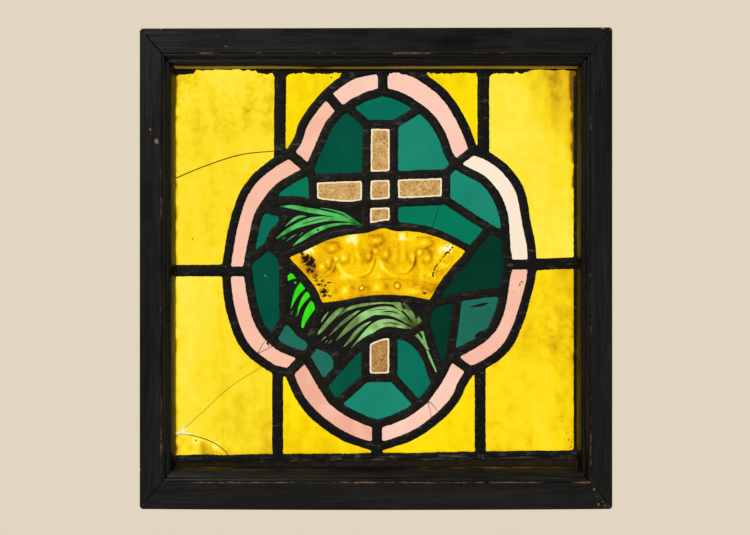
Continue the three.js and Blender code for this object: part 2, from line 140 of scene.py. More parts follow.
def hermite(points, tangents, spacing):
    """Points along cubic curves between the given ones, about spacing apart."""
    drawn = []
    for (p0, p1), (t0, t1) in zip(zip(points, points[1:]), zip(tangents, tangents[1:])):
        length = np.linalg.norm(p1 - p0)
        count = max(1, round(length / spacing))
        for t in np.arange(count) / count:
            drawn.append(
                (2 * t**3 - 3 * t**2 + 1) * p0
                + (t**3 - 2 * t**2 + t) * length * t0
                + (3 * t**2 - 2 * t**3) * p1
                + (t**3 - t**2) * length * t1
            )
    return drawn + [points[-1]]


def unit(v):
    return v / max(np.linalg.norm(v), 1e-9)


def curve(points, spacing=1.5):
    """A smooth open curve through the points, whose further values, such as a width, go along."""
    points = [np.array(p, float) for p in points]
    around = [points[0], *points, points[-1]]
    tangents = [unit((c - a)[:2]) for a, c in zip(around, around[2:])]
    full = []
    for i, tangent in enumerate(tangents):
        before, after = around[i], around[i + 2]
        run = max(np.linalg.norm((after - before)[:2]), 1e-9)
        full.append(np.concatenate([tangent, (after - before)[2:] / run]))
    return np.array(hermite(points, full, spacing))


def stroke(*points):
    """The outline of a brush stroke through (x, z, width) points."""
    thinnest = 0.06
    line = curve(points, 1.2)
    along = np.gradient(line[:, :2], axis=0)
    along /= np.maximum(np.linalg.norm(along, axis=1), 1e-9)[:, None]
    half = np.maximum(line[:, 2:], thinnest) / 2
    across = np.stack([-along[:, 1], along[:, 0]], axis=1) * half
    return np.concatenate([line[:, :2] + across, (line[:, :2] - across)[::-1]])


def dot(x, z, radius):
    turns = np.arange(10) / 10 * 2 * math.pi
    return np.stack([x + radius * np.cos(turns), z + radius * np.sin(turns)], axis=1)


def outline(points):
    """A mark's outline: a dot at one (x, z, radius), a stroke through several (x, z, width) points,
    or the shape that (x, z) corners give."""
    if len(points) == 1:
        return dot(*points[0])
    return stroke(*points) if len(points[0]) == 3 else np.array(points)


def turned_by(loop):
    """The turn at each corner of a closed loop, and the length of the side after it."""
    ahead = np.roll(loop, -1, axis=0) - loop
    length = np.linalg.norm(ahead, axis=1)
    heading = np.arctan2(ahead[:, 1], ahead[:, 0])
    turn = (heading - np.roll(heading, 1) + math.pi) % (2 * math.pi) - math.pi
    return turn, length


STRAIGHT = 0.01  # radians; a smaller turn is no bend
SHARP = 0.6  # radians; a larger turn is a corner
MOST_BULGE = 0.75  # a bend that would bulge its sides more than this is a corner too


def unfaceted(loop, spacing=2.0):
    """A faceted loop with its shallow bends drawn as curves and its corners kept."""
    turn, length = turned_by(loop)
    loop = loop[np.abs(turn) > STRAIGHT]
    turn, length = turned_by(loop)
    longest = np.maximum(length, np.roll(length, 1))
    corner = (np.abs(turn) > SHARP) | (longest * np.abs(turn) / 8 > MOST_BULGE)
    if not corner.any():
        corner[0] = True
    first = int(np.argmax(corner))
    loop, corner = np.roll(loop, -first, axis=0), np.roll(corner, -first)
    loop, corner = np.vstack([loop, loop[:1]]), np.append(corner, True)
    drawn, start = [], 0
    for end in np.flatnonzero(corner)[1:]:
        run = list(loop[start : end + 1])
        if len(run) == 2:
            drawn.append(run[0])
        else:
            around = [run[0], *run, run[-1]]
            tangents = [unit(c - a) for a, c in zip(around, around[2:])]
            drawn += hermite(run, tangents, spacing)[:-1]
        start = end
    return np.array(drawn)


def resampled(loop, spacing):
    closed = np.vstack([loop, loop[:1]])
    along = np.concatenate([[0], np.cumsum(np.linalg.norm(np.diff(closed, axis=0), axis=1))])
    count = max(8, round(along[-1] / spacing))
    at = np.arange(count) / count * along[-1]
    return np.stack([np.interp(at, along, closed[:, k]) for k in (0, 1)], axis=1)


def grown(loop, distance):
    """An anticlockwise loop with each side moved out by distance."""
    ahead = np.roll(loop, -1, axis=0) - loop
    ahead /= np.linalg.norm(ahead, axis=1)[:, None]
    out = np.stack([ahead[:, 1], -ahead[:, 0]], axis=1)
    both = np.roll(out, 1, axis=0) + out
    return loop + both * (2 * distance / np.maximum((both**2).sum(axis=1), 0.6))[:, None]


def within(loop, x, z):
    """Which points lie inside a closed loop."""
    x, z = np.asarray(x), np.asarray(z)
    inside = np.zeros(x.shape, bool)
    for (ax, az), (bx, bz) in zip(loop, np.roll(loop, -1, axis=0)):
        if az != bz:
            inside ^= ((az > z) != (bz > z)) & (x < (bx - ax) * (z - az) / (bz - az) + ax)
    return inside


def signed_distance(loop, x, z):
    """How far inside a closed loop each point lies, negative outside."""
    best = np.full(x.shape, np.inf)
    for (ax, az), (bx, bz) in zip(loop, np.roll(loop, -1, axis=0)):
        dx, dz = bx - ax, bz - az
        t = np.clip(((x - ax) * dx + (z - az) * dz) / max(dx * dx + dz * dz, 1e-9), 0, 1)
        best = np.minimum(best, (x - ax - t * dx) ** 2 + (z - az - t * dz) ** 2)
    return np.where(within(loop, x, z), 1, -1) * np.sqrt(best)


def chained(following):
    """The closed chains of a dictionary that says what comes after what."""
    while following:
        start, at = following.popitem()
        chain = [start]
        while at != start:
            chain.append(at)
            at = following.pop(at)
        yield chain


# ---- Reading the solids ----


def front_loops(node):
    """The outlines of a solid's flat front face."""
    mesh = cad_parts[node].data
    points = np.array([v.co for v in mesh.vertices]) / MM - (0, 0, BASE)
    front = points[:, 1].min()
    key = {i: (round(float(p[0]), 2), round(float(p[2]), 2)) for i, p in enumerate(points)}
    edges = set()
    for face in mesh.polygons:
        if any(points[i][1] > front + 0.01 for i in face.vertices):
            continue
        corners = [key[i] for i in face.vertices]
        edges |= set(zip(corners, corners[1:] + corners[:1]))
    following = {a: b for a, b in edges if (b, a) not in edges}
    return [np.array(chain) for chain in chained(following)]


def area(loop):
    x, z = loop[:, 0], loop[:, 1]
    return float((x * np.roll(z, -1) - z * np.roll(x, -1)).sum() / 2)


def anticlockwise(loop):
    return loop if area(loop) > 0 else loop[::-1]


KINDS = ("yellow", "pink", "cream", "green", "palm", "cross", "crown")
PANE_NAMES = sorted(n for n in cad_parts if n.split("_")[0] in KINDS)
lead_loops = [anticlockwise(loop) for loop in front_loops("lead_came_matrix")]
lead_loops.sort(key=area)
light_rim, openings = lead_loops[-1], [unfaceted(loop) for loop in lead_loops[:-1]]
pane_rims = {name: anticlockwise(front_loops(name)[0]) for name in PANE_NAMES}

# ---- The field that shapes the leads' edges ----

field_x = np.arange(LEAD_LOW[0] - 2, LEAD_HIGH[0] + 2, CELL)
field_z = np.arange(LEAD_LOW[2] - 2, LEAD_HIGH[2] + 2, CELL)
FAR = -9.0


def blurred(field, sigma):
    reach = int(3 * sigma) + 1
    weights = np.exp(-((np.arange(-reach, reach + 1) / sigma) ** 2) / 2)
    weights /= weights.sum()
    for axis in (0, 1):
        field = np.pad(field, [(reach * (axis == k),) * 2 for k in (0, 1)], mode="edge")
        field = np.apply_along_axis(lambda row: np.convolve(row, weights, "valid"), axis, field)
    return field


def opening_field():
    """How far inside the nearest opening of the leads each point of the grid lies."""
    field = np.full((len(field_z), len(field_x)), FAR)
    for loop in openings:
        low, high = loop.min(axis=0) + FAR, loop.max(axis=0) - FAR
        columns = slice(*np.searchsorted(field_x, (low[0], high[0])))
        rows = slice(*np.searchsorted(field_z, (low[1], high[1])))
        x, z = np.meshgrid(field_x[columns], field_z[rows])
        field[rows, columns] = np.maximum(field[rows, columns], signed_distance(loop, x, z))
    return blurred(field, SOFTEN / CELL)


LOCAL_EDGES = [  # (x, z, reach in x and in z, how much more glass shows) where the lead strays
    (-13, 300, 9, 5, -1.5), (23, 302, 10, 4.5, -2.4), (5, 302, 5, 4, 0.5),
    (57, 160, 4, 9, 2.2), (62, 152, 4, 6, 2.6),
    (-30, 165, 6, 6, 1.6), (-26, 63, 14, 4, 1.2), (26, 63, 14, 4, 1.2), (-211, 474, 9, 6, -1.6),
]


def edge_wander(x, z):
    """How much further than its drawn edge the glass shows: hand work, cement, and lost putty."""
    wander = 0.2 * noise(x, z, 11, 1) + 0.17 * noise(x, z, 3.4, 2) + 0.24 * noise(x, z, 1.5, 13)
    for cx, cz, rx, rz, more in LOCAL_EDGES:
        wander += more * hill(x, z, cx, cz, rx, rz)
    top = step(z, SIGHT_TOP - 9, SIGHT_TOP - 5)
    bare = step(x, -200, -197) * (1 - step(x, -132, -129)) + step(x, 157, 172)
    ragged = -1.9 + 1.1 * noise(x, z, 9, 3) + 0.7 * noise(x, z, 4, 4)
    ragged += 0.8 * noise(x, z, 1.7, 14)
    wander += top * (bare * (1.7 + 1.1 * noise(x, z, 5, 16)) + (1 - bare) * ragged)
    bottom = 1 - step(z, SIGHT_BOTTOM + 16, SIGHT_BOTTOM + 22)
    return wander + bottom * (0.25 + 0.5 * noise(x, z, 14, 5) + 0.25 * noise(x, z, 4, 6))


def contours(field):
    """The closed zero lines of the field, its openings on their left, in millimetres."""
    inside = field > 0
    case = inside[:-1, :-1] + inside[:-1, 1:] * 2 + inside[1:, 1:] * 4 + inside[1:, :-1] * 8
    # for cases 1 to 14, which side of the cell the line comes in by and which it goes out by
    ways = "bl rb rl tr bl,tr tb tl lt bt rb,lt rt lr br lb".split()

    def side(letter, i, j):
        return i + (letter == "t"), j + (letter == "r"), letter in "bt"

    def place(i, j, level):
        here, there = field[i, j], field[i, j + 1] if level else field[i + 1, j]
        t = here / (here - there)
        x = field_x[j] + CELL * t * level
        return x, field_z[i] + CELL * t * (not level)

    following = {}
    for i, j in np.argwhere((case > 0) & (case < 15)):
        for way in ways[case[i, j] - 1].split(","):
            following[side(way[0], i, j)] = side(way[1], i, j)
    return [np.array([place(*crossing) for crossing in chain]) for chain in chained(following)]


grid_x, grid_z = np.meshgrid(field_x, field_z)
shape_field = opening_field() + edge_wander(grid_x, grid_z)
SMALLEST = 12.0  # square millimetres of glass; any less is covered by solder
glass_edges = [
    resampled(loop, EDGE_STEP) for loop in contours(shape_field) if abs(area(loop)) > SMALLEST
]


def field_at(x, z):
    """The field between its grid points."""
    i = np.clip((np.asarray(z) - field_z[0]) / CELL, 0, len(field_z) - 1.001)
    j = np.clip((np.asarray(x) - field_x[0]) / CELL, 0, len(field_x) - 1.001)
    i0, j0 = i.astype(int), j.astype(int)
    fi, fj = i - i0, j - j0
    low = shape_field[i0, j0] * (1 - fj) + shape_field[i0, j0 + 1] * fj
    high = shape_field[i0 + 1, j0] * (1 - fj) + shape_field[i0 + 1, j0 + 1] * fj
    return low * (1 - fi) + high * fi


# ---- Meshes ----


def hexagonal(low, high, spacing):
    """Points of a triangular grid over a rectangle."""
    rows = []
    for k, z in enumerate(np.arange(low[1], high[1], spacing * 0.866)):
        x = np.arange(low[0] + (k % 2) * spacing / 2, high[0], spacing)
        rows.append(np.stack([x, np.full(len(x), z)], axis=1))
    return np.concatenate(rows)


def triangulated(loops, points):
    """Delaunay triangles of the plane, cut along the loops.

    Returns the points, the anticlockwise triangles, and the edges that lie on each loop."""
    flat = np.concatenate([*loops, points])
    edges, owner, start = [], [], 0
    for number, loop in enumerate(loops):
        ring = list(range(start, start + len(loop)))
        edges += zip(ring, ring[1:] + ring[:1])
        owner += [number] * len(loop)
        start += len(loop)
    made = geometry.delaunay_2d_cdt([Vector(p) for p in flat], edges, [], 0, 1e-5)
    places = np.array([p[:] for p in made[0]])
    on_loop = {}
    for edge, sources in zip(made[1], made[4]):
        if sources:
            on_loop[frozenset(edge)] = owner[sources[0]]
    triangles = np.array([f[:] for f in made[2]])
    a, b, c = (places[triangles[:, k]] for k in range(3))
    size = (b[:, 0] - a[:, 0]) * (c[:, 1] - a[:, 1]) - (b[:, 1] - a[:, 1]) * (c[:, 0] - a[:, 0])
    triangles[size < 0] = triangles[size < 0][:, ::-1]
    return places, triangles, on_loop


def piece(name, points, faces, materials, slots=None, smooth=True, sharp=0.7):
    """A mesh piece from points in millimetres and faces that already point outwards."""
    mesh = bpy.data.meshes.new(name)
    places = (np.asarray(points) + (0, 0, BASE)) * MM
    mesh.from_pydata(places.tolist(), [], [list(map(int, f)) for f in faces])
    for material in materials:
        mesh.materials.append(material)
    if slots is not None:
        mesh.polygons.foreach_set("material_index", np.asarray(slots, np.int32))
    if smooth:
        mesh.shade_smooth()
        mesh.set_sharp_from_angle(angle=sharp)
    mesh.validate()
    made = bpy.data.objects.new(name, mesh)
    bpy.context.scene.collection.objects.link(made)
    return made


def set_values(made, name, values):
    attribute = made.data.attributes.new(name, "FLOAT", "POINT")
    attribute.data.foreach_set("value", np.asarray(values, np.float32))


# ---- Materials ----


def srgb(red, green, blue):
    """A colour given from 0 to 255, as a linear (r, g, b, 1)."""
    def linear(c):
        c /= 255
        return c / 12.92 if c <= 0.04045 else ((c + 0.055) / 1.055) ** 2.4

    return (linear(red), linear(green), linear(blue), 1.0)


def add_node(tree, kind, inputs, output=0, **settings):
    """One output of a new shader node, whose inputs are numbers, colours or other outputs."""
    made = tree.nodes.new("ShaderNode" + kind)
    for key, value in settings.items():
        setattr(made, key, value)
    for key, value in inputs.items():
        put(tree, made.inputs[key], value)
    return made.outputs[output]


def put(tree, socket, value):
    """Puts a number, a (red, green, blue) from 0 to 255 or a node's output on a socket."""
    if isinstance(value, bpy.types.NodeSocket):
        tree.links.new(value, socket)
    else:
        socket.default_value = srgb(*value) if isinstance(value, tuple) else value


class Shader:
    """A Principled material, with short ways to add the nodes that vary it."""

    def __init__(self, name, **values):
        self.material = bpy.data.materials.new(name)
        self.material.use_nodes = True
        self.tree = self.material.node_tree
        self.surface = self.tree.nodes["Principled BSDF"]
        for key, value in values.items():
            socket = key.replace("_", " ").title().replace("Ior", "IOR")
            self.surface.inputs[socket].default_value = value
        self.place = add_node(self.tree, "TexCoord", {}, "Object")

    def noise(self, scale, detail=3.0, roughness=0.55, stretch=(1, 1, 1)):
        """Noise from 0 to 1 with scale bumps a metre, drawn out along the axes by stretch."""
        at = add_node(self.tree, "Mapping", {"Vector": self.place, "Scale": list(stretch)})
        inputs = {"Vector": at, "Scale": scale, "Detail": detail, "Roughness": roughness}
        return add_node(self.tree, "TexNoise", inputs, "Fac")

    def attribute(self, name):
        return add_node(self.tree, "Attribute", {}, "Fac", attribute_name=name)

    def fused(self, a, b, c):
        """a times b plus c."""
        return add_node(self.tree, "Math", {0: a, 1: b, 2: c}, operation="MULTIPLY_ADD")

    def sway(self, value, texture, weight):
        """The value, moved both ways by a texture that runs from 0 to 1."""
        centred = add_node(self.tree, "Math", {0: texture, 1: 0.5}, operation="SUBTRACT")
        return self.fused(centred, weight, value)

    def ramp(self, value, *stops):
        """A colour for each value: (position, colour) stops."""
        colour = add_node(self.tree, "ValToRGB", {"Fac": value}, "Color")
        elements = colour.node.color_ramp.elements
        while len(elements) < len(stops):
            elements.new(0.5)
        for element, (position, tint) in zip(elements, stops):
            element.position, element.color = position, srgb(*tint)
        return colour

    def grade(self, value, low, high, start=0.0, end=1.0):
        """A number that goes from low to high as value goes from start to end."""
        inputs = {"Value": value, "From Min": start, "From Max": end, "To Min": low, "To Max": high}
        return add_node(self.tree, "MapRange", inputs, "Result")

    def mix(self, share, a, b, blend="MIX"):
        inputs = {0: share, 6: a, 7: b}
        return add_node(self.tree, "Mix", inputs, 2, data_type="RGBA", blend_type=blend)

    def bump(self, height, distance):
        return add_node(self.tree, "Bump", {"Distance": distance, "Height": height})

    def finished(self, colour, **values):
        """The material, with its colour and what else varies over it."""
        for key, value in {"Base Color": colour, **values}.items():
            put(self.tree, self.surface.inputs[key], value)
        return self.material


CLEAR = dict(transmission_weight=1.0, ior=1.5, roughness=0.0)
FRAME_EDGE_TINT = (128, 82, 8)
GLASSES = {  # dark, middle and light tint, strength of the mottle, scale of the clouds, tint beside the frame
    "yellow_glass": ((226, 184, 22), (251, 220, 32), (255, 237, 84), 0.24, 9, FRAME_EDGE_TINT),
    "yellow_deep_glass": ((232, 184, 2), (253, 221, 5), (255, 238, 30), 0.18, 9, FRAME_EDGE_TINT),
    "yellow_warm_glass": ((226, 178, 8), (252, 218, 16), (255, 234, 56), 0.24, 9, FRAME_EDGE_TINT),
    "pink_glass": ((238, 174, 150), (249, 191, 168), (254, 206, 186), 0.1, 20),
    "pink_pale_glass": ((240, 188, 165), (250, 202, 183), (254, 216, 202), 0.1, 20),
    "cream_glass": ((243, 224, 198), (250, 233, 209), (254, 242, 224), 0.08, 20),
    "green_deep": ((0, 38, 27), (0, 53, 38), (4, 66, 48), 0.12, 16),
    "green_dark": ((0, 64, 48), (0, 79, 60), (5, 94, 73), 0.12, 16),
    "green_mid": ((0, 94, 76), (4, 108, 87), (12, 119, 97), 0.12, 16),
    "green_vivid": ((0, 106, 78), (2, 119, 88), (14, 131, 108), 0.12, 16),
    "green_smoky": ((18, 92, 76), (31, 107, 90), (42, 120, 103), 0.12, 16),
    "green_pale": ((15, 117, 96), (24, 132, 109), (38, 144, 121), 0.12, 16),
    "palm_upper_glass": ((28, 104, 34), (80, 186, 88), (112, 208, 120), 0.34, 90),
    "palm_left_glass": ((30, 200, 0), (52, 226, 14), (84, 240, 70), 0.26, 90),
    "palm_lower_glass": ((72, 88, 34), (140, 184, 104), (168, 230, 152), 0.4, 90),
    "palm_stem_glass": ((90, 130, 66), (126, 178, 104), (140, 206, 120), 0.36, 90),
}
PANE_GLASS = {"yellow_bottom_right": "yellow_warm_glass"}  # panes not named after their glass
for corner in ("top_left", "top_right", "bottom_left", "bottom_right"):
    PANE_GLASS[f"yellow_{corner}_inner"] = "yellow_deep_glass"
for place in ("top_right", "bottom_right", "top_left_high"):
    PANE_GLASS[f"pink_{place}"] = "pink_pale_glass"
GREENS = "mid dark pale vivid mid dark smoky smoky dark pale mid deep smoky deep pale vivid"
for number, tint in enumerate(GREENS.split(), 1):
    PANE_GLASS[f"green_{number:02}"] = "green_" + tint


def glass(name, dark, middle, light, mottle, cloud, edge_tint=None):
    """Clear sheet glass whose tint drifts between three colours, with the tone set on the mesh."""
    made = Shader(name, **CLEAR)
    value = made.fused(made.attribute("tone"), 0.5, 0.5)
    value = made.sway(value, made.noise(cloud, 2.0), 0.44)
    value = made.sway(value, made.noise(95.0, 5.0, 0.6), mottle * 2)
    value = made.sway(value, made.noise(80.0, 3.0, 0.5, stretch=(1, 1, 0.3)), mottle * 2)
    # the darker tint beside the frame at the foot of the ramp
    edge_stops = [(0.0, edge_tint), (0.24, dark)] if edge_tint else [(0.0, dark)]
    return made.finished(made.ramp(value, *edge_stops, (0.5, middle), (1.0, light)))


def speckled(name, scale, detail, *stops, **values):
    """A plain material that wanders between the colours of its stops."""
    made = Shader(name, **values)
    return made.finished(made.ramp(made.noise(scale, detail), *stops))


def stippled_glass():
    """Tan painted glass with brown specks and a clear border beside the lead."""
    made = Shader("stippled_cross_glass", **CLEAR)
    value = made.sway(made.noise(620.0, 2.0, 0.6), made.noise(120.0, 3.0), 0.5)
    tan = made.ramp(
        value, (0.28, (120, 80, 30)), (0.42, (190, 145, 82)), (0.58, (214, 172, 110)),
        (0.72, (236, 206, 150)),
    )
    shaded = made.mix(made.attribute("tone"), tan, (196, 160, 112), "MULTIPLY")
    inset = made.sway(made.attribute("inset"), made.noise(260.0, 2.0), 1.2)
    clear = made.grade(inset, 1.0, 0.0, 1.2, 2.1)
    return made.finished(made.mix(clear, shaded, (253, 232, 196)))


def crown_glass():
    """Golden silver-stained glass, painted in brown and scraped back to pale yellow."""
    made = Shader("crown_glass", **CLEAR)
    fine = made.noise(330.0, 5.0, 0.7)
    value = made.fused(made.attribute("tone"), 0.5, 0.5)
    value = made.sway(value, fine, 0.34)
    value = made.sway(value, made.noise(110.0, 4.0, 0.6), 0.2)
    gold = made.ramp(
        value, (0.05, (140, 84, 0)), (0.28, (212, 148, 2)), (0.5, (247, 194, 2)),
        (0.64, (255, 212, 6)), (0.78, (255, 234, 60)), (0.92, (255, 247, 182)),
    )
    burn = made.sway(made.attribute("burn"), fine, 1.6)
    stained = made.mix(made.grade(burn, 0.0, 0.55, 0.12, 0.45), gold, (150, 88, 26))
    return made.finished(made.mix(made.grade(burn, 0.0, 1.0, 0.4, 0.75), stained, (34, 22, 12)))


def old_lead():
    """Dark weathered lead, browner and paler where the small cames are, with streaks of solder and
    of painted highlight.
    """
    made = Shader("old_lead", metallic=0.25)
    cloud = made.noise(60.0, 4.0, 0.6)
    patches = made.noise(160.0, 4.0, 0.65)
    fine = made.noise(420.0, 3.0, 0.6)
    outer = made.ramp(fine, (0.3, (3, 3, 0)), (0.75, (15, 14, 7)))
    inner = made.ramp(patches, (0.3, (10, 10, 3)), (0.5, (28, 26, 14)), (0.72, (62, 54, 38)))
    lead = made.mix(made.attribute("inner"), outer, inner)
    lead = made.mix(made.grade(cloud, 0.0, 0.45, 0.52, 0.8), lead, (54, 50, 40))
    # paler solder, and painted highlight along the bottom came's edges
    pale = made.sway(made.attribute("pale"), made.noise(230.0, 4.0, 0.65, (0.3, 1, 1)), 3.2)
    scratches = made.grade(made.noise(520.0, 2.0, 0.5, (1, 1, 0.5)), 0.0, 0.1, 0.6, 0.72)
    lead = made.mix(scratches, lead, (110, 104, 88))
    return made.finished(
        made.mix(made.grade(pale, 0.0, 1.0, 0.25, 1.1), lead, (136, 131, 116)),
        Roughness=made.grade(cloud, 0.42, 0.7, 0.3, 0.7),
        Normal=made.bump(made.fused(fine, 0.6, patches), 0.0011),
    )


def old_putty():
    made = Shader("old_putty", roughness=0.85)
    tint = made.noise(160.0, 5.0, 0.6)
    tint = made.ramp(tint, (0.25, (24, 18, 10)), (0.6, (58, 44, 25)), (0.85, (98, 74, 42)))
    return made.finished(tint, Normal=made.bump(made.noise(260.0, 4.0, 0.65), 0.0008))


def painted_wood(name, stretch):
    """Black satin paint on wood: brush grain, worn brown arrises, bare wood in the chips, painted
    shade in the mouldings, and a painted golden glow of the lit glass beside the light."""
    made = Shader(name, coat_weight=0.12, coat_roughness=0.3)
    streaks = made.noise(330.0, 4.0, 0.6, stretch)
    fine = made.noise(700.0, 3.0, 0.6)
    value = made.sway(streaks, made.noise(60.0, 5.0, 0.65, stretch), 0.9)
    value = made.sway(value, fine, 0.5)
    paint = made.ramp(value, (0.26, (6, 6, 4)), (0.45, (22, 21, 19)), (0.7, (48, 45, 40)))
    patchy = made.sway(made.attribute("wear"), made.noise(120.0, 5.0, 0.65), 2.0)
    worn = made.grade(patchy, 0.0, 1.0, 0.5, 0.85)
    wood = made.ramp(fine, (0.3, (128, 98, 60)), (0.7, (220, 184, 142)))
    # painted shade: the mouldings darkened as if they lay in shade
    paint = made.mix(made.attribute("painted_moulding_shade"), paint, (5, 5, 3))
    painted = made.mix(worn, paint, wood)
    # painted glow: golden light of the lit glass, painted on the moulding's edge beside the light
    glow = made.sway(made.attribute("sight"), made.noise(70.0, 4.0, 0.6), 1.1)
    glow_streaks = made.fused(made.attribute("sight"), 0.35, streaks)
    glow_tint = made.ramp(glow_streaks, (0.55, (96, 66, 6)), (0.85, (214, 160, 26)), (1.0, (255, 218, 84)))
    dull = made.grade(made.noise(24.0, 4.0), 0.3, 0.5, 0.3, 0.7)
    return made.finished(
        made.mix(made.grade(glow, 0.0, 1.0, 0.45, 1.05), painted, glow_tint),
        Roughness=made.fused(worn, 0.25, dull),
        Normal=made.bump(made.fused(fine, 0.35, streaks), 0.0004),
    )


MATERIALS = {name: glass(name, *look) for name, look in GLASSES.items()}
MATERIALS.update(
    black=speckled(
        "black_glass_paint", 400.0, 3.0, (0.3, (8, 8, 6)), (0.75, (26, 24, 18)), roughness=0.55
    ),
    crack=speckled(
        "cracked_glass", 300.0, 3.0, (0.3, (26, 19, 4)), (0.8, (84, 64, 14)), roughness=0.3
    ),
    chip=speckled(
        "chipped_glass", 350.0, 4.0, (0.35, (226, 206, 150)), (0.55, (255, 253, 246)),
        transmission_weight=1.0, ior=1.5, roughness=0.3,
    ),
    cross_glass=stippled_glass(), crown_glass=crown_glass(), lead=old_lead(), putty=old_putty(),
    rail=painted_wood("black_painted_rail", (0.06, 1, 1)),
    stile=painted_wood("black_painted_stile", (1, 1, 0.06)),
)

# ---- Lead ----

CAME_FRONT, CAME_BACK = LEAD_LOW[1], LEAD_HIGH[1]
CAME_LEAN = 2.6  # the bottom came rises to the right by twice this
CAME_FOOT = SIGHT_BOTTOM + 6.5  # lower edge of the bottom came, above its putty
CAME_SHOWN = 6  # how much of its width shows
BAND_MIDDLE, BAND_HALF = 262, (152, 196)  # height and half sizes of the lobed band
SOLDER_AND_HIGHLIGHTS = [  # (x, z, reach in x and in z, weight) of the paler solder, and of painted highlight streaks along the cames
    (-138.7, 263, 3, 3, 0.9), (-21, 162.6, 4, 3, 0.8), (18, 54, 15, 1.4, 0.8),
    (88, 54.4, 20, 1.3, 0.8), (-20.7, 54.8, 4, 3, 0.8), (-60, 303.4, 12, 1.2, 0.5),
    (20, 305, 24, 1.2, 0.5), (-72, 190, 4, 5, 0.5), (103, 262, 3, 3, 0.7),
    (148, 262, 3, 3, 0.6), (-106, 262, 3, 3, 0.6),
]


def came_foot(x):
    return CAME_FOOT + CAME_LEAN * x / SIGHT_X + 0.4 * noise(x, 0 * x, 17, 7)


def flange_drop(x, z, front):
    """How far behind the crown of the flanges the lead's surface lies."""
    inwards = np.clip(-field_at(x, z), 0, None)
    drop = EDGE_DROP * (1 - np.clip(inwards / EDGE_ROUND, 0, 1)) ** 2
    clear = step(SIGHT_X - np.abs(x), 6, 12) * step(z, SIGHT_BOTTOM + 20, SIGHT_BOTTOM + 26)
    clear *= 1 - step(z, SIGHT_TOP - 12, SIGHT_TOP - 6)
    drop -= SOLDER_RISE * step(inwards, 4.2, 7.0) * clear * front
    drop += 0.07 * noise(x, z, 6, 8 + front) + 0.04 * noise(x, z, 2.3, 10 + front)
    if not front:
        return drop
    foot = z - came_foot(x)
    rolled = EDGE_DROP * (1 - np.clip(foot / EDGE_ROUND, 0, 1)) ** 2
    putty = 1.9 - 1.6 * step(-foot, 0.0, 7.0) + 0.25 * noise(x, z, 3, 12)
    return np.where(foot > 0, np.maximum(drop, np.where(foot < CAME_SHOWN, rolled, 0)), putty)


def layer_depths(triangles, sides, on_loop, first_glass):
    """What each triangle of the light is: 0 the web, 1 a flange over a pane, 2 an opening."""
    depth = {users[0][0]: 0 for users in sides.values() if len(users) == 1}
    queue = list(depth)
    while queue:
        t = queue.pop()
        a, b, c = triangles[t]
        for edge in (frozenset((a, b)), frozenset((b, c)), frozenset((c, a))):
            loop = on_loop.get(edge)
            for other, _ in sides[edge]:
                if other in depth:
                    continue
                if loop is None or loop == 0:
                    depth[other] = depth[t]
                elif loop < first_glass:
                    depth[other] = 1 - depth[t]
                else:
                    depth[other] = 3 - depth[t]
                queue.append(other)
    return depth


def solder_and_highlights(x, z):
    """Where the solder is paler, and the painted highlights along the edges of the bottom came."""
    foot = z - came_foot(x)
    # painted highlight: pale bands along the bottom came's rolled edge, as if it caught the light
    pale = 0.95 * bell(foot - 1.2, 0.9) + 0.5 * bell(foot - 4.8, 0.8)
    pale *= 0.8 + 0.5 * noise(x, z, 22, 48)
    for *place, weight in SOLDER_AND_HIGHLIGHTS:
        pale = np.maximum(pale, weight * hill(x, z, *place))
    return pale


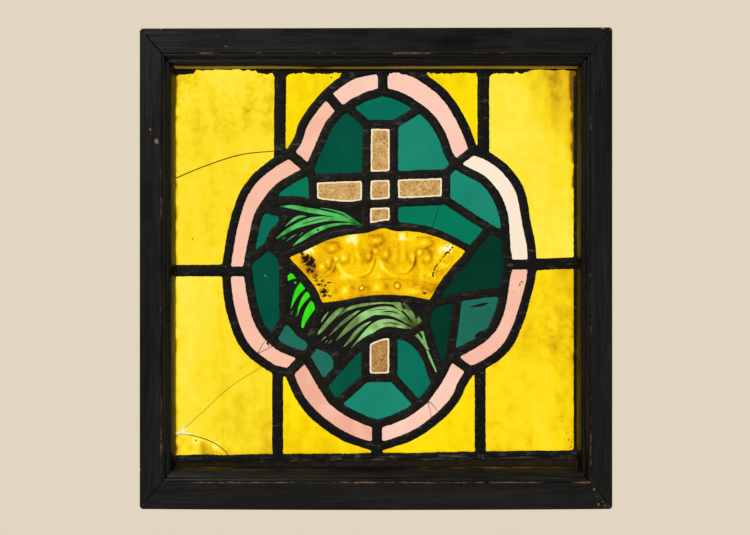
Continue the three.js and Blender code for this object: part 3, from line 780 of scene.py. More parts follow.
def lead_matrix():
    """The whole leadwork: relief on both faces, a slot for the glass between its flanges."""
    webs = [grown(pane_rims[name], WEB_CLEARANCE) for name in PANE_NAMES]
    rim = resampled(light_rim, 6)
    low, high = light_rim.min(axis=0), light_rim.max(axis=0)
    inner = hexagonal((-SIGHT_X - 2, SIGHT_BOTTOM - 1), (SIGHT_X + 2, SIGHT_TOP + 2), LEAD_STEP)
    inner = inner[field_at(*inner.T) < -1.2]
    outer = hexagonal(low + 2, high - 2, 5)
    x, z = outer.T
    hidden = (np.abs(x) > SIGHT_X + 3) | (z < SIGHT_BOTTOM - 2) | (z > SIGHT_TOP + 3)
    loops = [rim, *webs, *glass_edges]
    places, triangles, on_loop = triangulated(loops, np.concatenate([inner, outer[hidden]]))

    sides = {}
    for t, (a, b, c) in enumerate(triangles):
        for edge in ((a, b), (b, c), (c, a)):
            sides.setdefault(frozenset(edge), []).append((t, edge))
    depth = layer_depths(triangles, sides, on_loop, 1 + len(webs))

    x, z = places.T
    count = len(places)
    under_front, under_back = CAME_FRONT + FLANGE_THICK, CAME_BACK - FLANGE_THICK
    layers = [
        CAME_FRONT + flange_drop(x, z, 1),
        np.full(count, under_front),
        np.full(count, under_back),
        CAME_BACK - flange_drop(x, z, 0),
    ]
    layers[0] = np.minimum(layers[0], under_front - 0.25)
    points = np.concatenate([np.stack([x, y, z], axis=1) for y in layers])
    FRONT, UNDER, OVER, BACK = (k * count for k in range(4))

    faces = []
    for t, triangle in enumerate(triangles):
        if depth[t] == 2:
            continue
        a, b, c = triangle
        faces += [(a + FRONT, b + FRONT, c + FRONT), (c + BACK, b + BACK, a + BACK)]
        if depth[t] == 1:
            faces += [(c + UNDER, b + UNDER, a + UNDER), (a + OVER, b + OVER, c + OVER)]

    def wall(a, b, near, far):
        faces.append((a + near, a + far, b + far, b + near))

    for edge, users in sides.items():
        kinds = [depth[t] for t, _ in users]
        if len(users) == 1:
            wall(*users[0][1], FRONT, BACK)
        elif set(kinds) == {1, 2}:
            a, b = users[kinds.index(1)][1]
            wall(a, b, FRONT, UNDER)
            wall(a, b, OVER, BACK)
        elif set(kinds) == {0, 1}:
            wall(*users[kinds.index(0)][1], UNDER, OVER)
    used = np.unique(np.concatenate([np.array(f) for f in faces]))
    renumber = np.full(len(points), -1)
    renumber[used] = np.arange(len(used))
    points = points[used]
    faces = [[renumber[i] for i in f] for f in faces]
    middle = np.array([points[f].mean(axis=0) for f in faces])
    is_putty = (middle[:, 2] < came_foot(middle[:, 0])) & (middle[:, 1] < under_front)
    made = piece("lead_cames", points, faces, [MATERIALS["lead"], MATERIALS["putty"]], is_putty)
    x, z = points[:, 0], points[:, 2]
    away = np.hypot(x / BAND_HALF[0], (z - BAND_MIDDLE) / BAND_HALF[1])
    set_values(made, "inner", 1 - step(away, 0.86, 0.98))
    set_values(made, "pale", solder_and_highlights(x, z))
    return made


# ---- Glass ----

# Marks as (what they are made of, then the points of their outline). In the palm panes the ground
# is painted black round the leaves.
CRACK, CHIP, BLACK, LEAF = "crack", "chip", "black", "leaf"
MARKS = {
    "yellow_top_left": [
        (CRACK, (-222, 356.5, 1.2), (-187, 371, 1.1), (-148, 383.4, 1.1), (-106, 388, 0.8)),
        (CRACK, (-200.4, 291.5, 0.7)),
        (CRACK, (-178, 402, 0.4)),
    ],
    "yellow_top_left_inner": [
        (CRACK, (-49, 468, 0.9)),
    ],
    "yellow_bottom_left": [
        (CRACK, (-222, 73, 0.5), (-190, 102, 0.45), (-159, 130, 0.45), (-116, 157, 0.4)),
        (CRACK, (-222, 79.5, 0.7), (-205, 77.6, 0.8), (-187, 73, 0.9), (-171, 65, 0.9),
         (-156, 50, 0.8)),
        (CHIP, (-219, 78.5, 1.8), (-212, 81.5, 2.4), (-205.5, 86.5, 0.5)),
        (CHIP, (-213, 79.6, 1.8), (-207, 78.8, 1.4), (-202, 78, 0.3)),
        (CRACK, (-196.6, 71.5, 0.9)),
    ],
    "yellow_bottom_right": [
        (CRACK, (202.6, 98, 0.6)),
        (CRACK, (203.3, 92, 0.5)),
        (CRACK, (208, 79, 0.6)),
        (CRACK, (210.4, 72, 0.7)),
        (CRACK, (214, 70, 0.6)),
        (CRACK, (213, 64.5, 0.8)),
        (CRACK, (204, 86, 0.4)),
    ],
    "pink_left_lower": [
        (CRACK, (-130.5, 164, 0.8), (-125.8, 173.2, 0.6), (-120, 182, 0.4)),
        (CRACK, (-130.5, 165.6, 0.8), (-122, 169.8, 0.7), (-113, 174.6, 0.8)),
        (BLACK, (-119.4, 178.6, 2.2), (-117, 175.2, 1.4)),
    ],
    "pink_right_lower": [
        (CRACK, (159.4, 244.6, 1.0)),
        (CRACK, (157.4, 243, 1.4), (156.8, 240.2, 0.9)),
        (CRACK, (149.6, 233.6, 0.5)),
    ],
    "pink_bottom_right": [
        (CRACK, (56.2, 115, 1.2), (58.5, 106, 0.5), (61.4, 92, 0.6)),
        (CRACK, (56.2, 114.6, 1.2), (61, 111.5, 0.8), (67.5, 103, 0.4)),
    ],
    "green_13": [
        (BLACK, (101.6, 217.3, 0.2), (107, 217.8, 1.7), (115.5, 219.6, 3.2), (124, 222.2, 0.4)),
        (BLACK, (109, 183.6, 5), (113.5, 188, 4.2), (119, 191.6, 0.4)),
    ],
    "green_16": [
        (BLACK, (69.5, 331, 0.7), (66.2, 318, 0.7), (60.8, 302, 0.7)),
    ],
    "green_06": [
        (CHIP, (-121.2, 251.6, 0.45)),
        (CHIP, (-119.4, 250.2, 0.3)),
    ],
}
PALMS = {
    "palm_upper": [
        (LEAF, (-104.5, 327, 0.6), (-96, 326.8, 3.17), (-87, 325.7, 4.58), (-75, 323.2, 5.1),
         (-63.7, 321.3, 5.1), (-54, 319.4, 4.4), (-42.7, 317.2, 3.87), (-34, 314.6, 2.99),
         (-26, 311.4, 2.29), (-17, 307.2, 0.8)),
        (LEAF, (-61, 325.3, 0.3), (-52, 324.2, 1.3), (-44, 322, 1.67), (-36, 319.4, 2.11),
         (-29, 315.2, 2.29), (-22, 310.6, 1.6), (-17, 307.4, 0.5)),
        (LEAF, (-100, 304.4, 0.3), (-94, 309.6, 1.94), (-88, 313.8, 3.34), (-82, 315.9, 2.64),
         (-76.5, 316.2, 0.4)),
        (LEAF, (-111, 290.6, 0.5), (-103.3, 296, 2.99), (-96, 300.9, 4.22), (-89, 304.6, 4.93),
         (-82, 307.8, 6.34), (-71.8, 311, 7.22), (-61, 312.9, 6.34), (-52, 313.4, 4.75),
         (-42, 313.2, 3.87), (-32, 311.8, 2.82), (-24, 309.6, 1.94), (-17, 307, 0.6)),
        (BLACK, (-82, 307.2, 0.3), (-76, 309.2, 0.9), (-69, 311.2, 1.0), (-61, 313.2, 0.8),
         (-52, 314.9, 0.4)),
        (BLACK, (-52, 323, 0.3), (-45, 321.2, 0.8), (-37, 318, 0.8), (-30, 314.4, 0.3)),
        (LEAF, (-91, 283.7, 0.3), (-84.5, 288.8, 2.99), (-76.5, 294.2, 4.58), (-68, 299.3, 4.93),
         (-59, 303.4, 4.4), (-50, 306.2, 3.17), (-38, 307.9, 2.11), (-28, 308, 1.6),
         (-18.5, 306.4, 0.5)),
        (BLACK, (-63.5, 301.4, 1.2)),
        (LEAF, (-97.6, 289.4, 0.3), (-92, 293.4, 0.9), (-87, 296.6, 0.3)),
        (LEAF, (-84, 294.4, 0.2), (-80, 298.6, 0.6)),
        (LEAF, (-102, 291.6, 0.7), (-99, 293.2, 0.3)),
    ],
    "palm_left": [
        (LEAF, (-98.4, 245.2), (-95, 246.2), (-91.4, 247.8), (-87.4, 248.4), (-91, 253.2),
         (-93.6, 254), (-98.8, 248.6)),
        (LEAF, (-88.1, 243.9, 1.1)),
        (LEAF, (-79.4, 241.2, 8.2), (-84.4, 235.4, 7.0), (-88.2, 228.6, 4.4), (-91, 221.6, 2.2),
         (-93, 215.6, 0.3)),
        (LEAF, (-73.4, 232, 6.2), (-77.6, 227.2, 5.8), (-81.8, 220.6, 3.8), (-84.4, 214.4, 1.9),
         (-85.6, 208, 0.3)),
        (LEAF, (-67.6, 221.6, 8.6), (-72.4, 214.4, 8.6), (-76.6, 206.6, 6.4), (-79.2, 200, 4.2),
         (-80.3, 194.6, 2.6)),
        (LEAF, (-91, 213, 0.5), (-93.2, 208.6, 0.2)),
        (LEAF, (-86.8, 210.4, 0.4), (-87.6, 206, 0.2)),
    ],
    "palm_lower": [
        (LEAF, (-52, 211.8, 0.4), (-56.5, 206, 1.8), (-61.4, 198.4, 0.4)),
        (LEAF, (-65.6, 185.4, 0.3), (-60.2, 191.4, 3.4), (-53, 199.8, 4.76), (-46, 207.6, 5.27),
         (-40, 213.2, 4.59), (-34.6, 217.2, 2.04)),
        (LEAF, (-42.7, 206, 0.3), (-36, 211.8, 2.55), (-29, 215.6, 3.57), (-20, 218.5, 3.4),
         (-10, 220, 3.06), (0, 221.4, 2.21), (10, 221.6, 1.87), (19, 221, 2.21)),
        (BLACK, (-33.4, 216.8, 0.9), (-38, 211, 1.1), (-43, 205.6, 0.3)),
        (LEAF, (-51.4, 185.6, 0.3), (-43.9, 193.1, 2.55), (-36.3, 199.9, 3.23), (-28.7, 206, 3.23),
         (-20.5, 211.8, 1.87), (-17.6, 213.2, 0.5)),
        (BLACK, (-41, 195.6, 0.2), (-33, 202.4, 0.7), (-24.6, 208.8, 0.3)),
        (LEAF, (-43.9, 180.3, 0.4), (-34.6, 189.8, 4.25), (-26, 198, 6.46), (-17.4, 204.8, 7.82),
         (-8.6, 209.8, 8.16), (1, 213.4, 6.8), (11, 215.4, 5.1), (20.6, 214, 3.74),
         (28, 209.8, 2.55), (34, 204.6, 1.4)),
        (BLACK, (-8, 212.6, 0.2), (2, 214.4, 0.7), (12, 214.6, 0.3)),
        (LEAF, (-5.2, 208.6, 0.3), (2.4, 209.6, 2.21), (11.3, 209.9, 3.4), (20.6, 208.4, 4.59),
         (28.7, 204.9, 5.27), (35.6, 200.4, 4.59), (41.6, 195.8, 1.6)),
        (LEAF, (-25.2, 170.6, 5.61), (-17.4, 179.3, 6.97), (-10, 187.6, 8.16), (-2, 195, 8.84),
         (7, 199.2, 8.84), (16.6, 199.6, 7.99), (25.6, 197.4, 6.12), (33.6, 195, 3.23),
         (40, 194, 1.2)),
        (BLACK, (7, 198.8, 0.3), (14, 199.9, 1.1), (23, 198.6, 1.1), (31, 196.6, 0.4)),
        (LEAF, (-35.4, 173.6, 0.5), (-28, 181.4, 3.4), (-20.5, 190.4, 4.25), (-13, 197, 3.06),
         (-5.6, 201.4, 0.5)),
        (BLACK, (-26.4, 181.6, 0.2), (-20, 189, 0.8), (-13, 195.6, 0.3)),
        (LEAF, (-38.6, 155.6, 1.6), (-33.5, 161.1, 1.78), (-29.6, 165.8, 1)),
        (LEAF, (-60, 180, 0.5), (-55, 184.6, 1.2)),
        (LEAF, (-52.2, 177, 0.3), (-48.4, 180.8, 0.8)),
        (LEAF, (-57, 176.6, 0.2), (-53, 180.6, 0.5)),
        (LEAF, (28.2, 223), (33.6, 220.4), (38.1, 214.3), (41.6, 209.4), (44.4, 203.8),
         (46.2, 207.2), (50, 202.4), (45.6, 196), (42.4, 193.4), (41.4, 197.2), (38.2, 203.4),
         (33.4, 209.4), (29.4, 213.4), (32.2, 216.4), (29.6, 219.6)),
        (LEAF, (19.4, 223), (26.6, 223), (28.6, 217), (30.2, 213.4), (27, 212.6), (21.8, 217.2),
         (18.4, 220.4)),
        (BLACK, (41.4, 208.4, 0.3), (43.6, 204.2, 0.8), (45, 200.6, 0.3)),
    ],
    "palm_stem": [
        (LEAF, (42.2, 186.2), (45.4, 189.4), (48, 185.6), (51.2, 183.4), (56, 176), (57.8, 169.8),
         (54, 170), (47.4, 181.4)),
        (LEAF, (46.6, 191.8), (50.8, 190.4), (54.2, 193), (53.6, 187.2), (57, 183.6), (58.8, 170),
         (54, 170), (52, 179), (50.6, 186)),
        (BLACK, (46.4, 188, 0.9), (49.4, 184.8, 1.6), (51, 181, 0.4)),
        (LEAF, (55, 169.8, 3.2), (58.6, 162.6, 2.8), (62.2, 154.6, 2.2), (66.4, 145, 1.6)),
        (BLACK, (53, 171.2, 0.5), (60, 169.8, 0.9)),
    ],
}


def yellow_tone(name, x, z):
    """Where the yellow sheets are paler or deeper, darker towards the top right, and darker beside
    the frame.
    """
    tone = 0.12 * noise(x, z, 60, 21)
    # darker beside the frame and above the bottom came
    edge = np.minimum(SIGHT_X - np.abs(x), z - came_foot(x) - CAME_SHOWN)
    tone -= 1.3 * np.exp(-np.clip(edge, 0, None) / 1.9) * (0.8 + 0.7 * noise(x, z, 9, 26))
    tone += 0.12 * noise(x, z, 13, 27) * step(-z, -330, -100) + 0.08 * noise(x, z, 6, 28)
    if name == "yellow_top_left":
        tone += 0.5 * step(z - 0.4 * x, 480, 560) + 0.3 * step(-x, 190, 225)
        tone -= 0.7 * spot(x, z, (-210, 470), 18, 0.9)
        mottle = 0.28 * noise(x, z, 3.4, 51) + 0.14 * noise(x, z, 9, 52)
        tone -= (0.16 + mottle) * step(z, 380, 440)
    elif name == "yellow_top_right":
        # darker towards the top right corner and in a band along the right edge
        dark_corner = step(x + 0.35 * (z - 400), 165, 225) * step(z, 330, 430)
        dark_right_band = step(x, 209, 219) * step(z, 290, 340) * (1 + noise(x, z, 7, 29))
        tone += 0.42 - 1.0 * dark_corner - 1.0 * dark_right_band
    elif name == "yellow_bottom_left":
        tone += 0.5 * step(-x, 165, 215) + 0.25 * step(z, 170, 240)
        along = x + 205
        shard = step(76 - 0.11 * along - 0.011 * along**2 * (along > 0) - z, 0, 2)
        tone -= shard * (0.5 + 0.4 * noise(x, z, 7, 22))
        for centre, radius in (((-196.6, 71.5), 4.6), ((-174.7, 65.0), 4.2)):
            tone += 1.7 * spot(x, z, centre, radius, 0.3)
    elif name == "yellow_bottom_right":
        tone += 0.12 - 0.12 * step(z, 120, 220) - 0.33 * step(x, 184, 206)
        tone -= 0.1 * step(x, 196, 216) * (1 - step(z, 60, 110))
        rippled = step(x, 170, 190) * step(z, 140, 170) * (1 - step(z, 205, 230))
        tone += 0.2 * noise(x + 0.4 * z, z, 4, 30) * rippled
    return tone


TREFOILS = [  # centres of the top, left and right leaf and of the heart
    ((-47.8, 282), (-52.5, 266), (-35, 270.6), (-43.7, 269.4)),
    ((-0.8, 289.6), (-9, 274), (10.5, 274.8), (-0.2, 278.4)),
    ((53, 286.4), (39.4, 272), (55.6, 272), (47, 277)),
]
TREFOIL_LEAVES = ((7.4, 5.0), (4.4, 6.4), (4.8, 6.4))  # half width and height of the three leaves
SCALLOPS = [  # (x, z, radius, first and last angle, whether it is a whole arch, whether it is lit)
    (-20.7, 268.6, 20.0, -172, 10, True, True), (24.1, 271.6, 19.6, -168, 8, True, True),
    (-60.5, 266, 17.5, -80, -5, False, False), (64.5, 268, 16.5, -172, -110, False, True),
]
RIBS = [(-18.6, 259, -23, 294, 2.0), (28.6, 262, 28.8, 298, 2.2)]  # (foot, head, width)
SCRAPED = [  # (x, z, reach in x and in z, weight) of the pale, rough patches
    (-26, 291, 8, 4.6, 0.9), (31, 293, 9, 5, 0.85), (-71.6, 279, 7.6, 5.6, 1.8),
    (77.6, 281, 8, 5.4, 1.7), (76.5, 262.6, 2.6, 1.9, 0.9), (38, 235, 12, 3.6, 0.5),
    (70, 270, 5, 7, 0.4), (-59, 262.4, 3, 3.4, 0.8), (-37, 248.6, 4.4, 3.4, 0.6),
    (2.4, 251, 3, 3, 0.5), (21, 276, 2.2, 4.4, 0.5), (49.6, 250, 1.8, 6, 0.6),
]
SHADED = [  # the same, of the darker washes
    (-69, 258, 5, 8, 0.5), (68, 256, 6, 6, 0.5), (43, 262, 3, 7, 0.35), (-44, 258, 4, 5, 0.35),
    (20, 262, 3.4, 3, 0.3), (60, 279, 5, 4, 0.35), (-77, 262, 3, 5, 0.3), (66, 238, 6, 6, 0.25),
]
BURNS = [  # the same, of the burnt and flaked paint
    (-80.4, 276, 1.8, 4.8, 1.0), (-76.6, 269.6, 3.8, 4.8, 1.25), (-71.6, 265.6, 4.6, 5.2, 1.25),
    (-67.4, 262.8, 2.4, 3.6, 1.0), (-72, 257.4, 4.6, 5.6, 0.74), (-67.4, 251, 3.2, 3.2, 0.66),
    (-62.4, 242.8, 4.4, 1.8, 0.8), (-55.6, 240.6, 4, 1.5, 0.88), (-49.6, 243.4, 3.8, 1.2, 0.78),
    (-58, 246.4, 2.8, 2.2, 0.66), (-57, 233.6, 4, 3.8, 0.76), (-56.2, 229.6, 3.4, 1.9, 0.8),
    (-51.4, 228.4, 2.6, 1.5, 0.66), (-64, 247, 5, 4, 0.45), (83.3, 282.8, 1.3, 1.0, 0.95),
    (77.6, 283.6, 1.2, 0.8, 0.8), (53.4, 231.9, 2.3, 1.2, 1.15), (46.7, 292.5, 1.0, 0.7, 0.7),
    (68.4, 256, 1.4, 1.0, 0.7), (56.4, 236, 1.6, 0.9, 0.65), (61, 276.4, 1.2, 0.8, 0.6),
]
BAND_LINES = [  # (height above the arch of the band, weight, width)
    (0.0, 0.32, 0.9), (-2.6, 0.2, 0.8), (-13.4, 0.32, 0.8), (-16, 0.42, 1.1), (-18, 0.3, 1.0)
]
JEWEL_LINE = -7.2  # height above the arch of the row of jewels
PEARLS = [(-15.5, 1.3), (22.6, 0.8)]  # (x, brightness)
JEWELS = [  # (x, tone)
    (1.6, 0.5), (-26, -0.5), (-7.6, -0.5), (12, -0.5), (-44, -0.5), (52, -0.5), (-34, 0.5),
    (60, -0.5),
]
FLAKE_Z = (248, 258, 268, 273, 284)  # the line of flaked paint on the right, from the foot up
FLAKE_X = (62.4, 64, 69.4, 75.6, 83.6)


def crown_tone(x, z):
    """Light and shade of the crown: trefoils, scallops, a jewelled band and old damage."""
    tone = 0.22 * noise(x, z, 16, 33)
    for *leaves, heart in TREFOILS:
        for (cx, cz), (wide, high) in zip(leaves, TREFOIL_LEAVES):
            right, up = (x - cx) / wide, (z - cz) / high
            away = np.hypot(right, up)
            shade = 0.62 + 0.38 * np.clip(right - up, -1, 1)
            tone -= 0.54 * shade * bell(away - 1.05, 0.42)
            tone += 0.62 * bell(away, 0.3)
        top = leaves[0]
        tone -= 0.3 * bell(z - top[1] - 6, 1.5) * (np.abs(x - top[0]) < 8)
        away = np.hypot(x - heart[0], z - heart[1])
        tone += 0.6 * bell(away, 1.7) - 0.25 * bell(away - 3.8, 1.6)
    for cx, cz, radius, start, end, whole, lit in SCALLOPS:
        out = np.hypot(x - cx, z - cz) - radius
        turn = np.degrees(np.arctan2(z - cz, x - cx))
        shown = step(turn, start, start + 12) * (1 - step(turn, end - 12, end))
        shown *= step(turn, -120, -40) if whole else 0.6
        tone += shown * (0.3 * bell(out + 2.6, 1.4) - 0.75 * bell(out, 0.9))
        if lit:
            bright = step(turn, -178, -160) * (1 - step(turn, -115, -75))
            tone += 0.55 * bright * bell(out - 0.6, 1.9)
    for foot_x, foot_z, head_x, head_z, width in RIBS:
        t = np.clip((z - foot_z) / (head_z - foot_z), 0, 1)
        off = np.abs(x - foot_x - t * (head_x - foot_x))
        along = step(z, foot_z - 3, foot_z + 10)
        fade = 0.6 + 0.4 * noise(x, z, 5, 18)
        tone += 0.62 * fade * along * bell(off, width * (0.8 + 0.7 * t))
        tone -= 0.25 * along * bell(off - 4.6, 1.4) * (1 - t)
    rough = 0.72 + 0.6 * noise(x, z, 2.2, 37)
    tone += rough * sum(weight * hill(x, z, *place) for *place, weight in SCRAPED)
    tone -= sum(weight * hill(x, z, *place) for *place, weight in SHADED)
    above = z - (247.2 - 0.0021 * (x - 12) ** 2)  # height above the arch of the band
    worn = 0.7 + 0.5 * noise(x, z, 8, 38)
    for rise, weight, width in BAND_LINES:
        tone -= weight * bell(above - rise, width) * worn
    for cx, weight in PEARLS:
        away = np.hypot(x - cx, above - JEWEL_LINE)
        tone += weight * bell(away, 1.4) - 0.6 * bell(away - 2.9, 1.0)
    for cx, weight in JEWELS:
        tone += weight * bell(np.hypot(x - cx, above - JEWEL_LINE), 3.6)
    pale = np.abs(x - 2.6 - np.interp(z, (240, 258, 268, 276), (62, 66, 73, 80))) < 2.2
    tone += 0.35 * pale * (x > 60) * noise(x, z, 3, 47)
    tone += 0.1 * noise(x, z, 5.5, 31) + 0.12 * noise(x, z, 1.9, 32)
    return np.clip(tone, -1, 1)


def crown_burn(x, z):
    """Where the crown's paint is burnt and flaked."""
    line = x + 1.3 * noise(x, z, 4, 19) - np.interp(z, FLAKE_Z, FLAKE_X)
    burn = 1.05 * bell(line, 0.9) * (0.78 + 0.9 * noise(x, z, 1.8, 34))
    burn *= step(z, 246, 249) * (x > 60)
    for *place, weight in BURNS:
        burn = np.maximum(burn, weight * hill(x, z, *place))
    return burn + 0.38 * noise(x, z, 1.5, 39) * (burn > 0.1)


def crown_painting(x, z):
    """The tone and the burns of the crown, drawn with an unsteady hand."""
    sway = 1.3 * noise(x, z, 9, 35), 1.3 * noise(x, z, 9, 36)
    x, z = x + sway[0], z + sway[1]
    return crown_tone(x, z), crown_burn(x, z)


def pane_tone(name, x, z):
    """How dark or light each point of a pane other than the crown is, from -1 to 1."""
    kind = name.split("_")[0]
    if kind == "yellow":
        return yellow_tone(name, x, z)
    if kind == "cross":
        return np.full(len(x), 0.55 if name == "cross_foot" else 0.0)
    if kind == "pink":
        deep = 1.7 * (name == "pink_bottom_left")
        return 0.3 * noise(x, z, 22, 25) - deep * (0.8 + noise(x, z, 18, 17))
    if name == "palm_upper":
        return 0.45 * noise(x, z, 6, 23) - 0.6 * step(x, -50, -18) - 0.5 * step(-x, 88, 108)
    if name == "palm_lower":
        tone = 0.55 * noise(x, z, 7, 24) - 0.5 * step(z, 213, 219)
        tone -= 0.35 * step(-x - 0.8 * z, -152, -118) + 0.2
        return tone + 0.4 * step(x, -30, 0) * (1 - step(x, 16, 34)) - 0.5 * step(x, 22, 40)
    return 0.25 * noise(x, z, 30, 25)


def pane(name):
    """A sheet of glass as wide as its solid, with its marks or its painting on the front."""
    rim = pane_rims[name]
    kind = name.split("_")[0]
    low, high = box_mm(name)
    marks = [
        (outline(points), mark) for mark, *points in MARKS.get(name, []) + PALMS.get(name, [])
    ]
    spacing = PANE_STEP.get(kind, PLAIN_STEP)
    inner = hexagonal(rim.min(axis=0), rim.max(axis=0), spacing)
    inner = inner[signed_distance(rim, *inner.T) > spacing * 0.4]
    places, triangles, _ = triangulated([rim, *[loop for loop, _ in marks]], inner)
    middle = places[triangles].mean(axis=1)
    triangles = triangles[within(rim, *middle.T)]
    middle = places[triangles].mean(axis=1)

    names = ["black" if name in PALMS else None] * len(triangles)
    for loop, mark in marks:
        for t in np.flatnonzero(within(loop, *middle.T)):
            names[t] = None if mark == LEAF else mark
    own = name + "_glass" if name + "_glass" in MATERIALS else kind + "_glass"
    slots = [PANE_GLASS.get(name, own)] + sorted({n for n in names if n})
    front_slots = [slots.index(n) if n else 0 for n in names]
    back_slots = [slot if n == CHIP else 0 for slot, n in zip(front_slots, names)]

    x, z = places.T
    ripple = 0.06 * noise(x, z, 34, 15) + 0.03 * noise(x, z, 12, 16)
    count = len(places)
    points = np.concatenate([
        np.stack([x, low[1] + np.maximum(ripple, -0.2), z], axis=1),
        np.stack([x, np.full(count, high[1]), z], axis=1),
    ])
    faces = [tuple(t) for t in triangles] + [tuple(t[::-1] + count) for t in triangles]
    edges = {(a, b) for t in triangles for a, b in ((t[0], t[1]), (t[1], t[2]), (t[2], t[0]))}
    walls = [(a, a + count, b + count, b) for a, b in edges if (b, a) not in edges]
    slots_of = front_slots + back_slots + [0] * len(walls)
    made = piece(name + "_glass", points, faces + walls, [MATERIALS[s] for s in slots], slots_of)
    x, z = points[:, 0], points[:, 2]
    if kind == "crown":
        tone, burn = crown_painting(x, z)
        set_values(made, "burn", burn)
    else:
        tone = pane_tone(name, x, z)
    if kind == "cross":
        set_values(made, "inset", field_at(x, z))
    set_values(made, "tone", tone)
    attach(made, "root")
    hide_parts(name)


lead = lead_matrix()
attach(lead, "root")
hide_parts("lead_came_matrix")
for name in PANE_NAMES:
    pane(name)

# ---- Frame ----

# The moulding, as (share of its width in from the flat face, depth behind the front).
MOULDING = [
    (0.0, 0.0), (0.02, 1.3), (0.08, 0.6), (0.17, 0.7), (0.25, 1.6), (0.31, 3.4), (0.42, 4.9),
    (0.5, 5.2), (0.56, 4.9), (0.64, 5.8), (0.73, 7.2), (0.82, 9.2), (0.9, 11.4), (1.0, 14.4),
]
ARRIS = 0.8  # radius of the worn outer arrises
SIDE_WEAR = 3.0  # how far round the arrises their wear reaches
END_STEPS = (0.2, 0.45, 1, 2)  # spacing of points beside a mitre
FRONT_DEEP = 2  # the flat face and its arrises lie no deeper than this
JOINT = 0.02  # half the width of a mitre's closed joint
GROOVE, GROOVE_WIDE = 1.55, 0.6  # depth and half width of the groove worn along it
CHIPS = [  # (x, z, radius, depth) of the dents that show bare wood
    (235.7, 20.8, 1.2, 0.6), (240.4, 4.2, 1.5, 0.7), (245.4, 7.4, 0.9, 0.5), (247.5, 2.6, 1.2, 0.6),
    (-244.3, 408.9, 1.8, 0.5), (-237.2, 397.0, 2.5, 0.5), (235.2, 452.2, 1.1, 0.4),
    (-233.0, 519.0, 1.4, 0.5), (245.5, 519.2, 1.6, 0.5), (-254.8, 41.4, 1.3, 0.5),
    (-162.2, 499.7, 0.6, 0.3), (237.6, 455.2, 0.5, 0.3), (238.8, 12.6, 0.9, 0.5),
]
SCRATCH = (228.6, 445.4, 0.6), (233.4, 450.6, 1.6), (239, 456.4, 0.5)  # on the right stile
WORN = {  # (middle, half length, strength) of the worn stretches along each member's inner arris
    "top_rail": [(-182, 13, 0.7), (-126, 5, 0.65), (43, 27, 0.65), (120, 30, 0.4), (-60, 30, 0.3)],
    "bottom_rail": [(-140, 60, 0.55), (0, 70, 0.6), (130, 60, 0.55), (225, 12, 0.5)],
    "left_stile": [(90, 60, 0.45), (330, 50, 0.4), (210, 30, 0.4)],
    "right_stile": [(60, 60, 0.38), (210, 40, 0.3), (420, 40, 0.4)],
}


def bow(x, near_high):
    """How far the worn outer edge of a rail lies inside the frame's box."""
    return 0.6 - 0.6 * x / FRAME_HIGH[0] if near_high else 1.1 * (x / FRAME_HIGH[0]) ** 2


def member_section(face, mould):
    """Points round a member's section: (distance in from the outer edge, depth, wear)."""
    depth = FRAME_HIGH[1] - FRAME_LOW[1]
    rounding = [
        (ARRIS * (1 - math.cos(a)), ARRIS * (1 - math.sin(a)), 0.3)
        for a in np.linspace(0, math.pi / 2, 5)
    ]
    flat = [(s, 0.0, 0.0) for s in np.linspace(1.6, face - 1.2, round(face / 0.8))]
    edge = [(face - 0.5, 0.03, 0.2), (face - 0.15, 0.15, 0.3), (face, 0.4, 0.3)]
    bends = curve([(face + share * mould, d) for share, d in MOULDING[1:]], 0.55)
    crests = (0.12, 0.26), (0.5, 0.2)  # (share of the moulding, wear)
    moulding = [
        (s, d, max(w * bell((s - face) / mould - at, 0.06) for at, w in crests)) for s, d in bends
    ]
    sight = face + mould
    back = [(s, depth, 0.0) for s in np.linspace(sight - REBATE, ARRIS, 6)]
    side = [(0.0, depth - ARRIS, 0.2), (0.0, depth - SIDE_WEAR, 0.0), (0.0, SIDE_WEAR, 0.0)]
    return [
        *rounding, *flat, *edge, *moulding,
        (sight, LIP, 0.0), (sight - REBATE, LIP, 0.0), *back, *side,
    ]


def mitre_insets(s, along_x, near_high, face, mould):
    """How far inside the frame's box each line along a member starts and ends."""
    outside = 1 - np.clip(s / face, 0, 1)
    rounded = CORNER_ROUND - np.clip(s, 0, CORNER_ROUND)
    rounded = CORNER_ROUND - np.sqrt(CORNER_ROUND**2 - rounded**2)
    insets = []
    for high_end in (0, 1):
        end_face, end_mould = STILE_FACE, STILE_MOULD
        if not along_x:
            end_face, end_mould = RAIL_FACE if high_end else SILL_FACE, RAIL_MOULD
        inset = np.interp(s, [0, face, face + mould], [0, end_face, end_face + end_mould])
        inset = np.maximum(inset, rounded) + JOINT
        if not along_x:
            inset = inset + outside * bow(FRAME_HIGH[0] * (1 if near_high else -1), high_end)
        insets.append(inset)
    return insets


def shares_along(along_x, near_high, face):
    """Where along a member its sections stand, from 0 to 1: closer at mitres and chips."""
    axis, outer = (0, 2) if along_x else (2, 0)
    low, high = FRAME_LOW[axis], FRAME_HIGH[axis]
    along = list(np.linspace(low, high, 170))
    along += [low + d for d in END_STEPS] + [high - d for d in END_STEPS]
    for cx, cz, _, _ in CHIPS:
        centre, other = (cx, cz) if along_x else (cz, cx)
        if abs(other - (FRAME_HIGH if near_high else FRAME_LOW)[outer]) < face:
            along += [a for a in np.arange(centre - 4, centre + 4, 0.4) if low < a < high]
    return (np.unique(np.round(along, 2)) - low) / (high - low)


